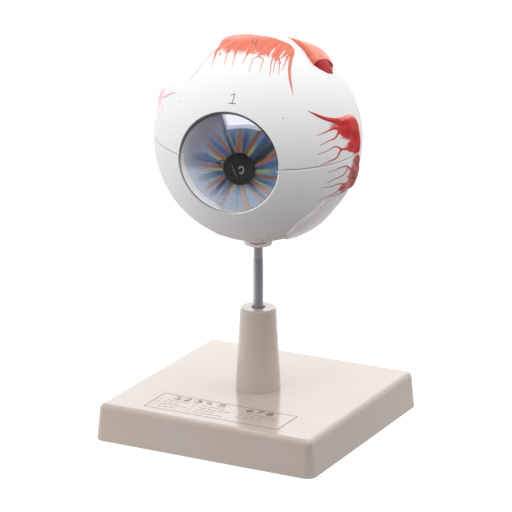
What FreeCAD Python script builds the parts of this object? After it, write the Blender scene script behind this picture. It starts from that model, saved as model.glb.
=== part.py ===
import FreeCAD, Part
import math
import os

import Sketcher

# Five-times-size model of a left human eye on a stand.
# Millimetres, +Z up, origin at the middle of the base's underside, the base's front edge towards -Y.
# The eyeball opens in two halves on a seam plane; its own frame has its origin at the eyeball's
# centre, -Y forward along the optical axis, +X towards the temple and +Z square to the seam.

Vector = FreeCAD.Vector
Rotation = FreeCAD.Rotation
Placement = FreeCAD.Placement
Constraint = Sketcher.Constraint

SIZES = {
    # base plate: a moulded tray, open underneath
    "base_side": 150.0,
    "base_height": 23.0,
    "base_corner": 6.0,
    "base_draft": 5.4,
    "base_edge_round": 3.5,
    "base_wall": 3.0,
    "base_rib": 2.0,
    "base_rib_clearance": 3.0,
    "base_hub_radius": 11.0,
    # post: tapered tube with a socket for the rod
    "post_height": 52.6,
    "post_foot_radius": 14.1,
    "post_top_radius": 11.2,
    "post_rim_round": 1.2,
    "post_wall": 3.0,
    "post_cap": 7.0,
    "socket_depth": 44.0,
    "socket_mouth_radius": 4.35,
    "socket_mouth_depth": 5.0,
    "socket_wall": 3.0,
    # screw that holds the post down on the base
    "screw_radius": 2.0,
    "screw_bite": 7.5,
    "screw_point": 1.0,
    "screw_head_radius": 4.0,
    "screw_head_height": 2.6,
    "screw_head_bevel": 1.6,
    "screw_head_bevel_height": 1.04,
    "screw_slot_width": 1.1,
    "washer_radius": 7.0,
    "washer_thickness": 1.0,
    # rod, threaded at the top
    "rod_radius": 3.2,
    "rod_chamfer": 0.6,
    "thread_depth": 0.3,
    "thread_below_boss": 9.6,
    "running_clearance": 0.05,
    "fixing_clearance": 0.1,
    "moving_gap": 0.3,
    # where the eyeball stands and how it is turned on the rod
    "eye_height": 183.6,
    "eye_yaw": 9.0,
    "eye_tilt": 3.7,
    "eye_pitch": 2.0,
    # shells of the eyeball
    "eye_radius": 63.5,
    "sclera_wall": 3.0,
    "choroid_wall": 2.0,
    "boss_radius": 8.65,
    "boss_drop": 4.0,
    "insert_radius": 5.2,
    "insert_roof": 1.0,
    "peg_radius": 0.9,
    "peg_length": 8.0,
    "peg_sink": 4.5,
    # recess at the front that holds the iris and the cornea
    "limbus_radius": 31.0,
    "recess_depth": 9.919,
    "ledge_thickness": 2.5,
    "recess_wall": 2.5,
    "cornea_curve": 39.0,
    "cornea_wall": 1.5,
    "iris_thickness": 1.5,
    "pupil_radius": 9.6,
    "pupil_height": 2.5,
    "pupil_stem_radius": 7.5,
    "pupil_right": 4.3,
    "pupil_drop": 5.3,
    # inside: lens, ciliary ring, vitreous body
    "lens_radius": 23.0,
    "lens_passage": 1.0,
    "lens_behind_iris": 2.037,
    "lens_edge": 1.6,
    "lens_front_curve": 46.0,
    "lens_back_curve": 34.0,
    "ciliary_behind_ledge": 0.8,
    "ciliary_crest": 5.0,
    "ciliary_crest_gap": 1.58,
    "ciliary_foot": 2.0,
    "ciliary_foot_gap": 3.992,
    "ciliary_hole_edge": 3.0,
    "vitreous_behind_lens_edge": 1.7,
    "vitreous_wall": 2.0,
    # optic nerve
    "nerve_radius": 8.5,
    "nerve_length": 14.5,
    "nerve_angle": 15.0,
    "nerve_taper": 0.8,
    # muscle stumps stand proud of the sclera
    "pad_glue": 0.1,
    "superior_rectus_height": 1.2,
    "superior_oblique_height": 3.0,
    "lateral_rectus_height": 2.2,
    "medial_rectus_height": 2.2,
    "inferior_rectus_height": 1.6,
    "inferior_oblique_height": 2.2,
    "seam_setback": 0.5,
}

doc = FreeCAD.newDocument("EyeModel")
sheet = doc.addObject("Spreadsheet::Sheet", "Sizes")
for row, (alias, value) in enumerate(SIZES.items(), start=1):
    sheet.set("A%d" % row, alias)
    sheet.set("B%d" % row, str(value))
    sheet.setAlias("B%d" % row, alias)
doc.recompute()

sub_parts = []


# ---------------------------------------------------------------- helpers

def size(expression):
    """The number that an expression on the sheet's cells gives now."""
    return float(sheet.evalExpression(expression))


def bind(target, **expressions):
    for name, expression in expressions.items():
        target.setExpression(name, expression)


def sub_part(target, label):
    target.Label = label
    sub_parts.append(target)
    return target


def new_body(label):
    return sub_part(doc.addObject("PartDesign::Body", label + "_body"), label)


def plane_sketch(body, name, role, offset=None):
    """A sketch on one of the body's own origin planes, moved along the plane's normal by offset."""
    sketch = body.newObject("Sketcher::SketchObject", name)
    plane = next(f for f in body.Origin.OriginFeatures if f.Role == role)
    sketch.AttachmentSupport = [(plane, "")]
    sketch.MapMode = "FlatFace"
    if offset:
        sketch.setExpression("AttachmentOffset.Base.z", offset)
    return sketch


def place_vertex(sketch, edge, end, point):
    """Ties one end of an edge to its two coordinates, each an expression."""
    for kind, axis, coordinate in (("DistanceX", -2, point[0]), ("DistanceY", -1, point[1])):
        if coordinate == "0":
            sketch.addConstraint(Constraint("PointOnObject", edge, end, axis))
        else:
            index = sketch.addConstraint(Constraint(kind, -1, 1, edge, end, size(coordinate)))
            sketch.setExpression("Constraints[%d]" % index, coordinate)


def outline(sketch, points, arcs=None):
    """A closed outline through points. arcs maps an edge's number to (radius, side): side 1 puts
    the centre on the left of the way from the edge's first point to its second, -1 on the right."""
    arcs = arcs or {}
    spots = [Vector(size(x), size(y), 0) for x, y in points]
    count = len(points)
    starts = []
    for edge in range(count):
        first, last = spots[edge], spots[(edge + 1) % count]
        if edge not in arcs:
            sketch.addGeometry(Part.LineSegment(first, last), False)
            starts.append((1, 2))
            continue
        radius, side = arcs[edge]
        chord = last - first
        rise = math.sqrt(max(size(radius) ** 2 - chord.Length ** 2 / 4, 0.0))
        left = Vector(-chord.y, chord.x, 0) / chord.Length
        centre = (first + last) / 2 + left * rise * side
        turn = [math.atan2(p.y - centre.y, p.x - centre.x) for p in (first, last)]
        if side < 0:
            turn.reverse()
        circle = Part.Circle(centre, Vector(0, 0, 1), size(radius))
        sketch.addGeometry(Part.ArcOfCircle(circle, turn[0], turn[1]), False)
        starts.append((1, 2) if side > 0 else (2, 1))
        index = sketch.addConstraint(Constraint("Radius", edge, size(radius)))
        sketch.setExpression("Constraints[%d]" % index, radius)
    for edge in range(count):
        following = (edge + 1) % count
        sketch.addConstraint(Constraint("Coincident", edge, starts[edge][1], following, starts[following][0]))
        place_vertex(sketch, edge, starts[edge][0], points[edge])


def rectangle(sketch, left, bottom, right, top):
    outline(sketch, [(left, bottom), (right, bottom), (right, top), (left, top)])


def revolve(body, name, sketch, angle=360, other_way=False):
    """Turns the sketch about its own vertical axis."""
    feature = body.newObject("PartDesign::Revolution", name)
    feature.Profile = sketch
    feature.ReferenceAxis = (sketch, ["V_Axis"])
    feature.Angle = angle
    feature.Reversed = other_way
    return feature


def pad(body, name, sketch, length, other_way=False):
    feature = body.newObject("PartDesign::Pad", name)
    feature.Profile = sketch
    feature.setExpression("Length", length)
    feature.Reversed = other_way
    return feature


def pocket(body, name, sketch, length, other_way=False):
    """Cuts the sketch out of the body, and stops if nothing went."""
    doc.recompute()
    before = body.Shape.Volume
    feature = body.newObject("PartDesign::Pocket", name)
    feature.Profile = sketch
    feature.setExpression("Length", length)
    feature.Reversed = other_way
    doc.recompute()
    if body.Shape.Volume > before - 1e-3:
        raise RuntimeError("%s of %s cuts nothing" % (name, body.Label))
    return feature


def round_tool(body, kind, name, radius, length, start, direction):
    """An added or subtracted cylinder in the body's own frame."""
    tool = body.newObject("PartDesign::" + kind, name)
    bind(tool, Radius=radius, Height=length)
    tool.Placement = Placement(start, Rotation(Vector(0, 0, 1), direction))
    return tool


def edges_where(shape, test):
    """Names of the edges whose every vertex passes the test."""
    return ["Edge%d" % n for n, edge in enumerate(shape.Edges, start=1)
            if all(test(vertex.Point) for vertex in edge.Vertexes)]


def edge_feature(body, kind, name, base, edges, measure):
    feature = body.newObject("PartDesign::" + kind, name)
    feature.Base = (base, edges)
    feature.setExpression("Radius" if kind == "Fillet" else "Size", measure)
    return feature


# ---------------------------------------------------------------- the eyeball's frame

EYE_PLACEMENT = ("placement(vector(0; 0; Sizes.eye_height);"
                 " rotation(Sizes.eye_yaw; Sizes.eye_tilt; Sizes.eye_pitch))")
eye_rotation = Rotation(size("Sizes.eye_yaw"), size("Sizes.eye_tilt"), size("Sizes.eye_pitch"))
DOWN_IN_EYE = eye_rotation.inverted().multVec(Vector(0, 0, -1))


def in_eye(target):
    """Puts a piece that is drawn in the eyeball's frame where the eyeball stands."""
    target.setExpression("Placement", EYE_PLACEMENT)
    return target


def sphere_point(longitude, latitude):
    """Unit vector in the eyeball's frame: longitude from the front towards the temple, in degrees."""
    east, north = math.radians(longitude), math.radians(latitude)
    return Vector(math.sin(east) * math.cos(north), -math.cos(east) * math.cos(north), math.sin(north))


# How far in front of the eyeball's centre each level of the front recess lies
RIM = "sqrt(Sizes.eye_radius^2 - Sizes.limbus_radius^2)"
LEDGE_FRONT = "(%s - Sizes.recess_depth)" % RIM
LEDGE_BACK = "(%s - Sizes.ledge_thickness)" % LEDGE_FRONT
IRIS_FRONT = "(%s + Sizes.iris_thickness)" % LEDGE_FRONT
SCLERA_INNER = "(Sizes.eye_radius - Sizes.sclera_wall)"
CHOROID_OUTER = "(%s - Sizes.moving_gap)" % SCLERA_INNER
CHOROID_INNER = "(%s - Sizes.choroid_wall)" % CHOROID_OUTER
VITREOUS_RADIUS = "(%s - Sizes.moving_gap)" % CHOROID_INNER
BOSS_FACE = "(Sizes.eye_radius + Sizes.boss_drop)"
PLUG_RADIUS = "(Sizes.limbus_radius - Sizes.moving_gap)"
THREAD_CORE = "(Sizes.rod_radius - Sizes.thread_depth)"


# ---------------------------------------------------------------- stand

def rounded_square(sketch, half, corner):
    """A square about the origin with round corners: half is half its side."""
    near = "(%s - %s)" % (half, corner)
    points = [("-" + near, "-" + half), (near, "-" + half), (half, "-" + near), (half, near),
              (near, half), ("-" + near, half), ("-" + half, near), ("-" + half, "-" + near)]
    outline(sketch, points, {edge: (corner, 1) for edge in (1, 3, 5, 7)})


def make_base_plate():
    body = new_body("base_plate")
    foot = plane_sketch(body, "foot_outline", "XY_Plane")
    rounded_square(foot, "(Sizes.base_side / 2)", "Sizes.base_corner")
    block = pad(body, "block", foot, "Sizes.base_height")
    block.setExpression("TaperAngle", "-Sizes.base_draft")
    doc.recompute()
    top = size("Sizes.base_height")
    rim = edges_where(block.Shape, lambda point: abs(point.z - top) < 0.01)
    edge_feature(body, "Fillet", "edge_round", block, rim, "Sizes.base_edge_round")

    hollow = plane_sketch(body, "hollow_outline", "XY_Plane")
    rounded_square(hollow, "(Sizes.base_side / 2 - Sizes.base_wall)", "(Sizes.base_corner - Sizes.base_wall / 2)")
    room = pocket(body, "hollow", hollow, "Sizes.base_height - Sizes.base_wall", other_way=True)
    room.setExpression("TaperAngle", "-Sizes.base_draft")

    # two crossing ribs and a round hub stiffen the top from below
    reach = "(Sizes.base_side / 2 - Sizes.base_wall / 2 - Sizes.base_height * tan(Sizes.base_draft))"
    for name, across, along in (("rib_x", reach, "Sizes.base_rib / 2"), ("rib_y", "Sizes.base_rib / 2", reach)):
        strip = plane_sketch(body, name + "_outline", "XY_Plane", "Sizes.base_rib_clearance")
        rectangle(strip, "-" + across, "-" + along, across, along)
        pad(body, name, strip, "Sizes.base_height - Sizes.base_wall / 2 - Sizes.base_rib_clearance")
    hub = plane_sketch(body, "hub_outline", "XY_Plane", "Sizes.base_rib_clearance")
    hub.addGeometry(Part.Circle(Vector(), Vector(0, 0, 1), size("Sizes.base_hub_radius")), False)
    hub.addConstraint(Constraint("Coincident", 0, 3, -1, 1))
    hub.addConstraint(Constraint("Radius", 0, size("Sizes.base_hub_radius")))
    hub.setExpression("Constraints[1]", "Sizes.base_hub_radius")
    pad(body, "hub", hub, "Sizes.base_height - Sizes.base_wall / 2 - Sizes.base_rib_clearance")
    doc.recompute()
    round_tool(body, "SubtractiveCylinder", "screw_well", "Sizes.washer_radius + Sizes.fixing_clearance",
               "Sizes.base_height - Sizes.base_wall", Vector(), Vector(0, 0, 1))
    round_tool(body, "SubtractiveCylinder", "screw_hole", "Sizes.screw_radius + Sizes.fixing_clearance",
               "Sizes.base_height", Vector(), Vector(0, 0, 1))


def make_post():
    """A tapered moulding, hollow from below, with the rod's socket down its middle."""
    body = new_body("post")
    foot = "Sizes.base_height"
    top = "(Sizes.base_height + Sizes.post_height)"
    bore = "(Sizes.rod_radius + Sizes.running_clearance)"
    tube = "(%s + Sizes.socket_wall)" % bore
    floor = "(%s - Sizes.socket_depth)" % top
    cap = "(%s - Sizes.post_cap)" % top
    pilot = "(Sizes.screw_radius + Sizes.running_clearance)"
    pilot_end = "(%s + Sizes.screw_bite + Sizes.fixing_clearance)" % foot
    half = plane_sketch(body, "half_section", "XZ_Plane")
    outline(half, [
        (pilot, foot), (tube, foot), (tube, cap),
        ("(Sizes.post_top_radius - Sizes.post_wall)", cap), ("(Sizes.post_foot_radius - Sizes.post_wall)", foot),
        ("Sizes.post_foot_radius", foot), ("Sizes.post_top_radius", top), ("Sizes.socket_mouth_radius", top),
        ("Sizes.socket_mouth_radius", "%s - Sizes.socket_mouth_depth" % top),
        (bore, "%s - Sizes.socket_mouth_depth" % top), (bore, floor), ("0", floor), ("0", pilot_end),
        (pilot, pilot_end),
    ])
    turned = revolve(body, "turned", half)
    doc.recompute()
    height = size(top)
    rim = [name for name in edges_where(turned.Shape, lambda point: abs(point.z - height) < 0.01)
           if turned.Shape.getElement(name).BoundBox.XMax > size("Sizes.socket_mouth_radius") + 1]
    edge_feature(body, "Fillet", "rim_round", turned, rim, "Sizes.post_rim_round")


def make_base_screw():
    """Pan-head screw up through the base into the post, and the washer under its head."""
    seat = "(Sizes.base_height - Sizes.base_wall)"
    under_head = "(%s - Sizes.washer_thickness)" % seat
    head_end = "(%s - Sizes.screw_head_height)" % under_head
    washer = new_body("screw_washer")
    ring = plane_sketch(washer, "section", "XZ_Plane")
    rectangle(ring, "(Sizes.screw_radius + 2 * Sizes.fixing_clearance)", under_head, "Sizes.washer_radius", seat)
    revolve(washer, "ring", ring)

    body = new_body("base_screw")
    half = plane_sketch(body, "half_section", "XZ_Plane")
    tip = "(Sizes.base_height + Sizes.screw_bite)"
    outline(half, [
        ("0", head_end), ("Sizes.screw_head_radius - Sizes.screw_head_bevel", head_end),
        ("Sizes.screw_head_radius", "%s + Sizes.screw_head_bevel_height" % head_end),
        ("Sizes.screw_head_radius", under_head), ("Sizes.screw_radius", under_head),
        ("Sizes.screw_radius", "%s - Sizes.screw_point" % tip), ("Sizes.screw_radius - Sizes.screw_point", tip),
        ("0", tip),
    ])
    revolve(body, "turned", half)
    slot = plane_sketch(body, "slot_outline", "XY_Plane", head_end)
    rectangle(slot, "-Sizes.screw_head_radius", "-Sizes.screw_slot_width / 2",
              "Sizes.screw_head_radius", "Sizes.screw_slot_width / 2")
    pocket(body, "slot", slot, "Sizes.screw_head_height / 2", other_way=True)


def make_rod():
    """Plain steel rod from the socket's floor to the insert in the eyeball, threaded at the top."""
    body = new_body("rod")
    foot = "(Sizes.base_height + Sizes.post_height - Sizes.socket_depth)"
    top = "(Sizes.eye_height - %s - Sizes.insert_roof)" % SCLERA_INNER
    shoulder = "(Sizes.eye_height - %s - Sizes.thread_below_boss)" % BOSS_FACE
    half = plane_sketch(body, "half_section", "XZ_Plane")
    outline(half, [
        ("0", foot), ("Sizes.rod_radius - Sizes.rod_chamfer", foot),
        ("Sizes.rod_radius", "%s + Sizes.rod_chamfer" % foot),
        ("Sizes.rod_radius", "%s - Sizes.thread_depth" % shoulder),
        (THREAD_CORE, shoulder), (THREAD_CORE, top), ("0", top),
    ])
    revolve(body, "turned", half)


# ---------------------------------------------------------------- shells of the eyeball

def nerve_direction():
    """The optic nerve leaves at the back, turned towards the nose from the optical axis."""
    return sphere_point(180 + size("Sizes.nerve_angle"), 0)


def nerve_cut(body):
    direction = nerve_direction()
    round_tool(body, "SubtractiveCylinder", "nerve_notch", "Sizes.nerve_radius + Sizes.moving_gap",
               "Sizes.eye_radius", direction * size("Sizes.eye_radius / 2"), direction)


PEG_LONGITUDES = (72, 180, -72)


def peg_foot(longitude):
    """Lower end of a locating peg, in the middle of the sclera's wall."""
    return (sphere_point(longitude, 0) * size("Sizes.eye_radius - Sizes.sclera_wall / 2")
            - Vector(0, 0, size("Sizes.peg_sink")))


def make_sclera(label, upper):
    """Half of the outer shell, with half of the recess and ledge for the iris and the cornea."""
    body = new_body(label)
    half = plane_sketch(body, "section", "XY_Plane")
    recess_outer = "(Sizes.limbus_radius + Sizes.recess_wall)"
    ledge_inner = "(Sizes.lens_radius + Sizes.lens_passage)"
    outline(half, [
        ("0", "Sizes.eye_radius"), ("0", SCLERA_INNER),
        (recess_outer, "-sqrt(%s^2 - %s^2)" % (SCLERA_INNER, recess_outer)), (recess_outer, "-" + LEDGE_BACK),
        (ledge_inner, "-" + LEDGE_BACK), (ledge_inner, "-" + LEDGE_FRONT),
        ("Sizes.limbus_radius", "-" + LEDGE_FRONT), ("Sizes.limbus_radius", "-" + RIM),
    ], {1: (SCLERA_INNER, -1), 7: ("Sizes.eye_radius", 1)})
    revolve(body, "half_shell", half, 180, other_way=upper)
    nerve_cut(body)
    fit = "Sizes.fixing_clearance + Sizes.running_clearance" if upper else "Sizes.running_clearance"
    for number, longitude in enumerate(PEG_LONGITUDES, start=1):
        round_tool(body, "SubtractiveCylinder", "peg_hole_%d" % number, "Sizes.peg_radius + " + fit,
                   "Sizes.peg_length + Sizes.fixing_clearance", peg_foot(longitude), Vector(0, 0, 1))
    if not upper:
        # round boss under the eyeball that takes the rod, square to the rod
        round_tool(body, "AdditiveCylinder", "rod_boss", "Sizes.boss_radius",
                   "Sizes.boss_drop + Sizes.sclera_wall / 2",
                   DOWN_IN_EYE * size("Sizes.eye_radius - Sizes.sclera_wall / 2"), DOWN_IN_EYE)
        round_tool(body, "SubtractiveCylinder", "insert_hole", "Sizes.insert_radius + Sizes.running_clearance",
                   "Sizes.boss_drop + 2 * Sizes.sclera_wall",
                   DOWN_IN_EYE * size("Sizes.eye_radius - 2 * Sizes.sclera_wall"), DOWN_IN_EYE)
    in_eye(body)


def make_threaded_insert():
    """Blind brass bush in the boss. The rod's end bears on its roof."""
    body = new_body("threaded_insert")
    face = "(Sizes.eye_height - %s)" % BOSS_FACE
    top = "(Sizes.eye_height - %s)" % SCLERA_INNER
    bore = "(%s + Sizes.running_clearance)" % THREAD_CORE
    half = plane_sketch(body, "half_section", "XZ_Plane")
    outline(half, [
        (bore, face), ("Sizes.insert_radius", face), ("Sizes.insert_radius", top), ("0", top),
        ("0", "%s - Sizes.insert_roof" % top), (bore, "%s - Sizes.insert_roof" % top),
    ])
    revolve(body, "turned", half)


def make_locating_pegs():
    """Three pegs, set in the lower half of the sclera, that line up the upper half."""
    pegs = []
    for number, longitude in enumerate(PEG_LONGITUDES, start=1):
        peg = doc.addObject("Part::Cylinder", "peg_%d" % number)
        bind(peg, Radius="Sizes.peg_radius", Height="Sizes.peg_length")
        peg.Placement = Placement(peg_foot(longitude), Rotation())
        pegs.append(peg)
    group = doc.addObject("Part::Compound", "locating_pegs_group")
    group.Links = pegs
    in_eye(sub_part(group, "locating_pegs"))


def make_choroid(label, upper):
    """Half of the inner shell, open in front."""
    body = new_body(label)
    front = "(%s - Sizes.moving_gap)" % LEDGE_BACK
    half = plane_sketch(body, "section", "XY_Plane")
    outline(half, [
        ("0", CHOROID_OUTER), ("0", CHOROID_INNER),
        ("sqrt(%s^2 - %s^2)" % (CHOROID_INNER, front), "-" + front),
        ("sqrt(%s^2 - %s^2)" % (CHOROID_OUTER, front), "-" + front),
    ], {1: (CHOROID_INNER, -1), 3: (CHOROID_OUTER, 1)})
    revolve(body, "half_shell", half, 180, other_way=upper)
    in_eye(body)


def make_optic_nerve():
    """Stub of the optic nerve, cut square, glued in the lower half of the sclera."""
    body = new_body("optic_nerve")
    direction = nerve_direction()
    inner = "(%s + Sizes.moving_gap)" % SCLERA_INNER
    outer = "(Sizes.eye_radius + Sizes.nerve_length)"
    stub = plane_sketch(body, "half_section", "XY_Plane")
    stub.AttachmentOffset = Placement(Vector(), Rotation(Vector(0, 1, 0), direction))
    outline(stub, [
        ("0", inner), ("Sizes.nerve_radius", inner), ("Sizes.nerve_radius", "Sizes.eye_radius"),
        ("Sizes.nerve_radius - Sizes.nerve_taper", outer), ("0", outer),
    ])
    revolve(body, "turned", stub)
    in_eye(body)


# ---------------------------------------------------------------- front and inside of the eyeball

CORNEA_CENTRE = "(%s - sqrt(Sizes.cornea_curve^2 - %s^2))" % (RIM, PLUG_RADIUS)


def make_cornea():
    """Clear dome with a skirt that plugs into the recess, down to the iris."""
    body = new_body("cornea")
    inner_curve = "(Sizes.cornea_curve - Sizes.cornea_wall)"
    skirt_inner = "(%s - Sizes.cornea_wall)" % PLUG_RADIUS
    skirt_end = "(%s + Sizes.moving_gap)" % IRIS_FRONT
    half = plane_sketch(body, "half_section", "XY_Plane")
    outline(half, [
        ("0", "-(%s + Sizes.cornea_curve)" % CORNEA_CENTRE), (PLUG_RADIUS, "-" + RIM),
        (PLUG_RADIUS, "-" + skirt_end), (skirt_inner, "-" + skirt_end),
        (skirt_inner, "-(%s + sqrt(%s^2 - %s^2))" % (CORNEA_CENTRE, inner_curve, skirt_inner)),
        ("0", "-(%s + %s)" % (CORNEA_CENTRE, inner_curve)),
    ], {0: ("Sizes.cornea_curve", 1), 4: (inner_curve, -1)})
    revolve(body, "dome", half)
    in_eye(body)


PUPIL_CENTRE = Vector(size("Sizes.pupil_right"), 0, -size("Sizes.pupil_drop"))
FORWARD = Vector(0, -1, 0)


def make_iris():
    """Flat painted disc on the ledge, with an off-centre hole for the pupil's stem."""
    body = new_body("iris")
    half = plane_sketch(body, "half_section", "XY_Plane")
    rectangle(half, "0", "-" + IRIS_FRONT, PLUG_RADIUS, "-" + LEDGE_FRONT)
    revolve(body, "disc", half)
    round_tool(body, "SubtractiveCylinder", "stem_hole", "Sizes.pupil_stem_radius + Sizes.running_clearance",
               "Sizes.eye_radius", PUPIL_CENTRE, FORWARD)
    in_eye(body)

    plug = new_body("pupil")
    front = PUPIL_CENTRE + FORWARD * size(IRIS_FRONT)
    back = PUPIL_CENTRE + FORWARD * size(LEDGE_FRONT)
    round_tool(plug, "AdditiveCylinder", "head", "Sizes.pupil_radius", "Sizes.pupil_height", front, FORWARD)
    round_tool(plug, "AdditiveCylinder", "stem", "Sizes.pupil_stem_radius", "Sizes.iris_thickness", back, FORWARD)
    in_eye(plug)


LENS_FRONT = "(%s - Sizes.lens_behind_iris)" % LEDGE_FRONT
LENS_FRONT_RISE = "(Sizes.lens_front_curve - sqrt(Sizes.lens_front_curve^2 - Sizes.lens_radius^2))"
LENS_FRONT_EDGE = "(%s - %s)" % (LENS_FRONT, LENS_FRONT_RISE)
LENS_BACK_EDGE = "(%s - Sizes.lens_edge)" % LENS_FRONT_EDGE
LENS_BACK_RISE = "(Sizes.lens_back_curve - sqrt(Sizes.lens_back_curve^2 - Sizes.lens_radius^2))"
VITREOUS_FRONT = "(%s - Sizes.vitreous_behind_lens_edge)" % LENS_BACK_EDGE


def make_lens():
    body = new_body("lens")
    half = plane_sketch(body, "half_section", "XY_Plane")
    outline(half, [
        ("0", "-" + LENS_FRONT), ("Sizes.lens_radius", "-" + LENS_FRONT_EDGE),
        ("Sizes.lens_radius", "-" + LENS_BACK_EDGE), ("0", "-(%s - %s)" % (LENS_BACK_EDGE, LENS_BACK_RISE)),
    ], {0: ("Sizes.lens_front_curve", 1), 2: ("Sizes.lens_back_curve", 1)})
    revolve(body, "turned", half)
    in_eye(body)


def make_ciliary_body():
    """Ring round the lens, seated on the front of the vitreous body."""
    body = new_body("ciliary_body")
    hole = "(Sizes.lens_radius + Sizes.moving_gap)"
    back = "(%s + Sizes.moving_gap)" % VITREOUS_FRONT
    foot_front = "(%s + Sizes.ciliary_foot)" % back
    crest = "(%s - Sizes.ciliary_behind_ledge)" % LEDGE_BACK
    foot_radius = "(sqrt(%s^2 - %s^2) - Sizes.ciliary_foot_gap)" % (CHOROID_INNER, foot_front)
    crest_radius = "(sqrt(%s^2 - %s^2) - Sizes.ciliary_crest_gap)" % (CHOROID_INNER, crest)
    half = plane_sketch(body, "half_section", "XY_Plane")
    outline(half, [
        (hole, "-" + back), (foot_radius, "-" + back), (foot_radius, "-" + foot_front),
        (crest_radius, "-" + crest), ("%s - Sizes.ciliary_crest" % crest_radius, "-" + crest),
        (hole, "-(%s + Sizes.ciliary_hole_edge)" % back),
    ])
    revolve(body, "ring", half)
    in_eye(body)


def make_vitreous_body():
    """Clear hollow ball, flat in front, with a dish that takes the back of the lens."""
    body = new_body("vitreous_body")
    wall = "Sizes.vitreous_wall"
    dish_radius = "(Sizes.lens_radius + Sizes.moving_gap)"
    dish_curve = "(Sizes.lens_back_curve + Sizes.moving_gap)"
    dish_floor = "(%s - %s - Sizes.moving_gap)" % (LENS_BACK_EDGE, LENS_BACK_RISE)
    dish_centre = "(%s + %s)" % (dish_floor, dish_curve)
    mouth = "sqrt(%s^2 - (%s - %s)^2)" % (dish_curve, dish_centre, VITREOUS_FRONT)
    skin_curve = "(%s + %s)" % (dish_curve, wall)
    inner_front = "(%s - %s)" % (VITREOUS_FRONT, wall)
    inner_mouth = "sqrt(%s^2 - (%s - %s)^2)" % (skin_curve, dish_centre, inner_front)
    inner_radius = "(%s - %s)" % (VITREOUS_RADIUS, wall)
    half = plane_sketch(body, "half_section", "XY_Plane")
    outline(half, [
        ("0", VITREOUS_RADIUS), ("0", inner_radius),
        ("sqrt(%s^2 - %s^2)" % (inner_radius, inner_front), "-" + inner_front),
        (inner_mouth, "-" + inner_front), ("0", "-(%s - %s)" % (dish_floor, wall)),
        ("0", "-" + dish_floor), (mouth, "-" + VITREOUS_FRONT),
        ("sqrt(%s^2 - %s^2)" % (VITREOUS_RADIUS, VITREOUS_FRONT), "-" + VITREOUS_FRONT),
    ], {1: (inner_radius, -1), 3: (skin_curve, 1), 5: (dish_curve, -1), 7: (VITREOUS_RADIUS, 1)})
    revolve(body, "turned", half)
    in_eye(body)


# ---------------------------------------------------------------- muscle stumps

# Each stump is a pad of even height on the sphere. Its outline is on the plane that touches the
# sphere at (longitude, latitude): first across, towards larger longitude, then up. It is drawn in
# millimetres for a sphere of OUTLINE_RADIUS and grows with the eyeball.
OUTLINE_RADIUS = 63.5
SUPERIOR_RECTUS = [(-24, 0), (-24.5, -12), (-23, -22), (-12, -22.5), (0, -24), (9, -23), (15, -22),
                   (23, -18), (22.5, -8), (18, -2), (8, 0), (-10, 2)]
SUPERIOR_OBLIQUE = [(12, 22), (7, 14.5), (1, 7.7), (-5.2, 1), (-7.5, -3.5), (-6.5, -8.5), (-2.5, -13.8),
                    (2, -14), (7, -11.3), (14, -7), (19, -1), (21, 6), (18, 14)]
LATERAL_UPPER = [(-27, 31.5), (-17, 27.3), (-5.4, 25.6), (2, 25.5), (8, 22.8), (10.3, 18), (10.8, 0),
                 (-3, 0), (-4, 8), (-9, 13), (-12, 20), (-17, 25.5)]
LATERAL_LOWER = [(-3, 0), (10.8, 0), (12.5, -9), (13, -17), (8, -22.5), (-2, -23.5), (-10, -19), (-9, -14),
                 (-3, -10)]
INFERIOR_RECTUS = [(-19, 24), (-11, 22), (0, 18), (11, 13), (17, 9), (17, 2), (-17, 2), (-20.5, 9)]
INFERIOR_OBLIQUE = [(-4, 22.5), (-8.3, 16.7), (-11.4, 12.7), (-13.5, 3.7), (-13, -4), (-7.5, -15),
                    (4, -16), (14, -6), (19, 8), (16, 20)]


def mirrored(points):
    """The same stump on the nasal side."""
    return [(-across, up) for across, up in reversed(points)]


def above_seam(points, sign):
    """Keeps a stump's edge a little away from the seam."""
    setback = size("Sizes.seam_setback") * OUTLINE_RADIUS / size("Sizes.eye_radius")
    return [(across, sign * max(sign * up, setback)) for across, up in points]


def make_muscle(label, longitude, latitude, points, height, clear_of_boss=False):
    """Shape set in code: the pad is what a cone from the eyeball's centre, through the outline,
    leaves of a thin shell on the sphere."""
    radius = size("Sizes.eye_radius")
    inner = radius + size("Sizes.pad_glue")
    outer = radius + size("Sizes." + height)
    centre = sphere_point(longitude, latitude)
    east = sphere_point(longitude + 90, 0)
    north = centre.cross(east)
    corners = []
    for across, up in points:
        spot = centre * math.sqrt(OUTLINE_RADIUS ** 2 - across ** 2 - up ** 2) + east * across + north * up
        corners.append(spot / spot.dot(centre))
    wires = [Part.makePolygon([corner * reach for corner in corners + corners[:1]])
             for reach in (radius / 4, radius * 1.5)]
    cone = Part.makeLoft(wires, True, True)
    shell = Part.makeSphere(outer).cut(Part.makeSphere(inner))
    shape = cone.common(shell)
    if clear_of_boss:
        shape = shape.cut(Part.makeCylinder(size("Sizes.boss_radius + Sizes.moving_gap"), 2 * radius,
                                            Vector(), DOWN_IN_EYE))
    stump = doc.addObject("Part::Feature", label + "_pad")
    stump.Shape = shape.Solids[0]
    in_eye(sub_part(stump, label))


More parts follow.
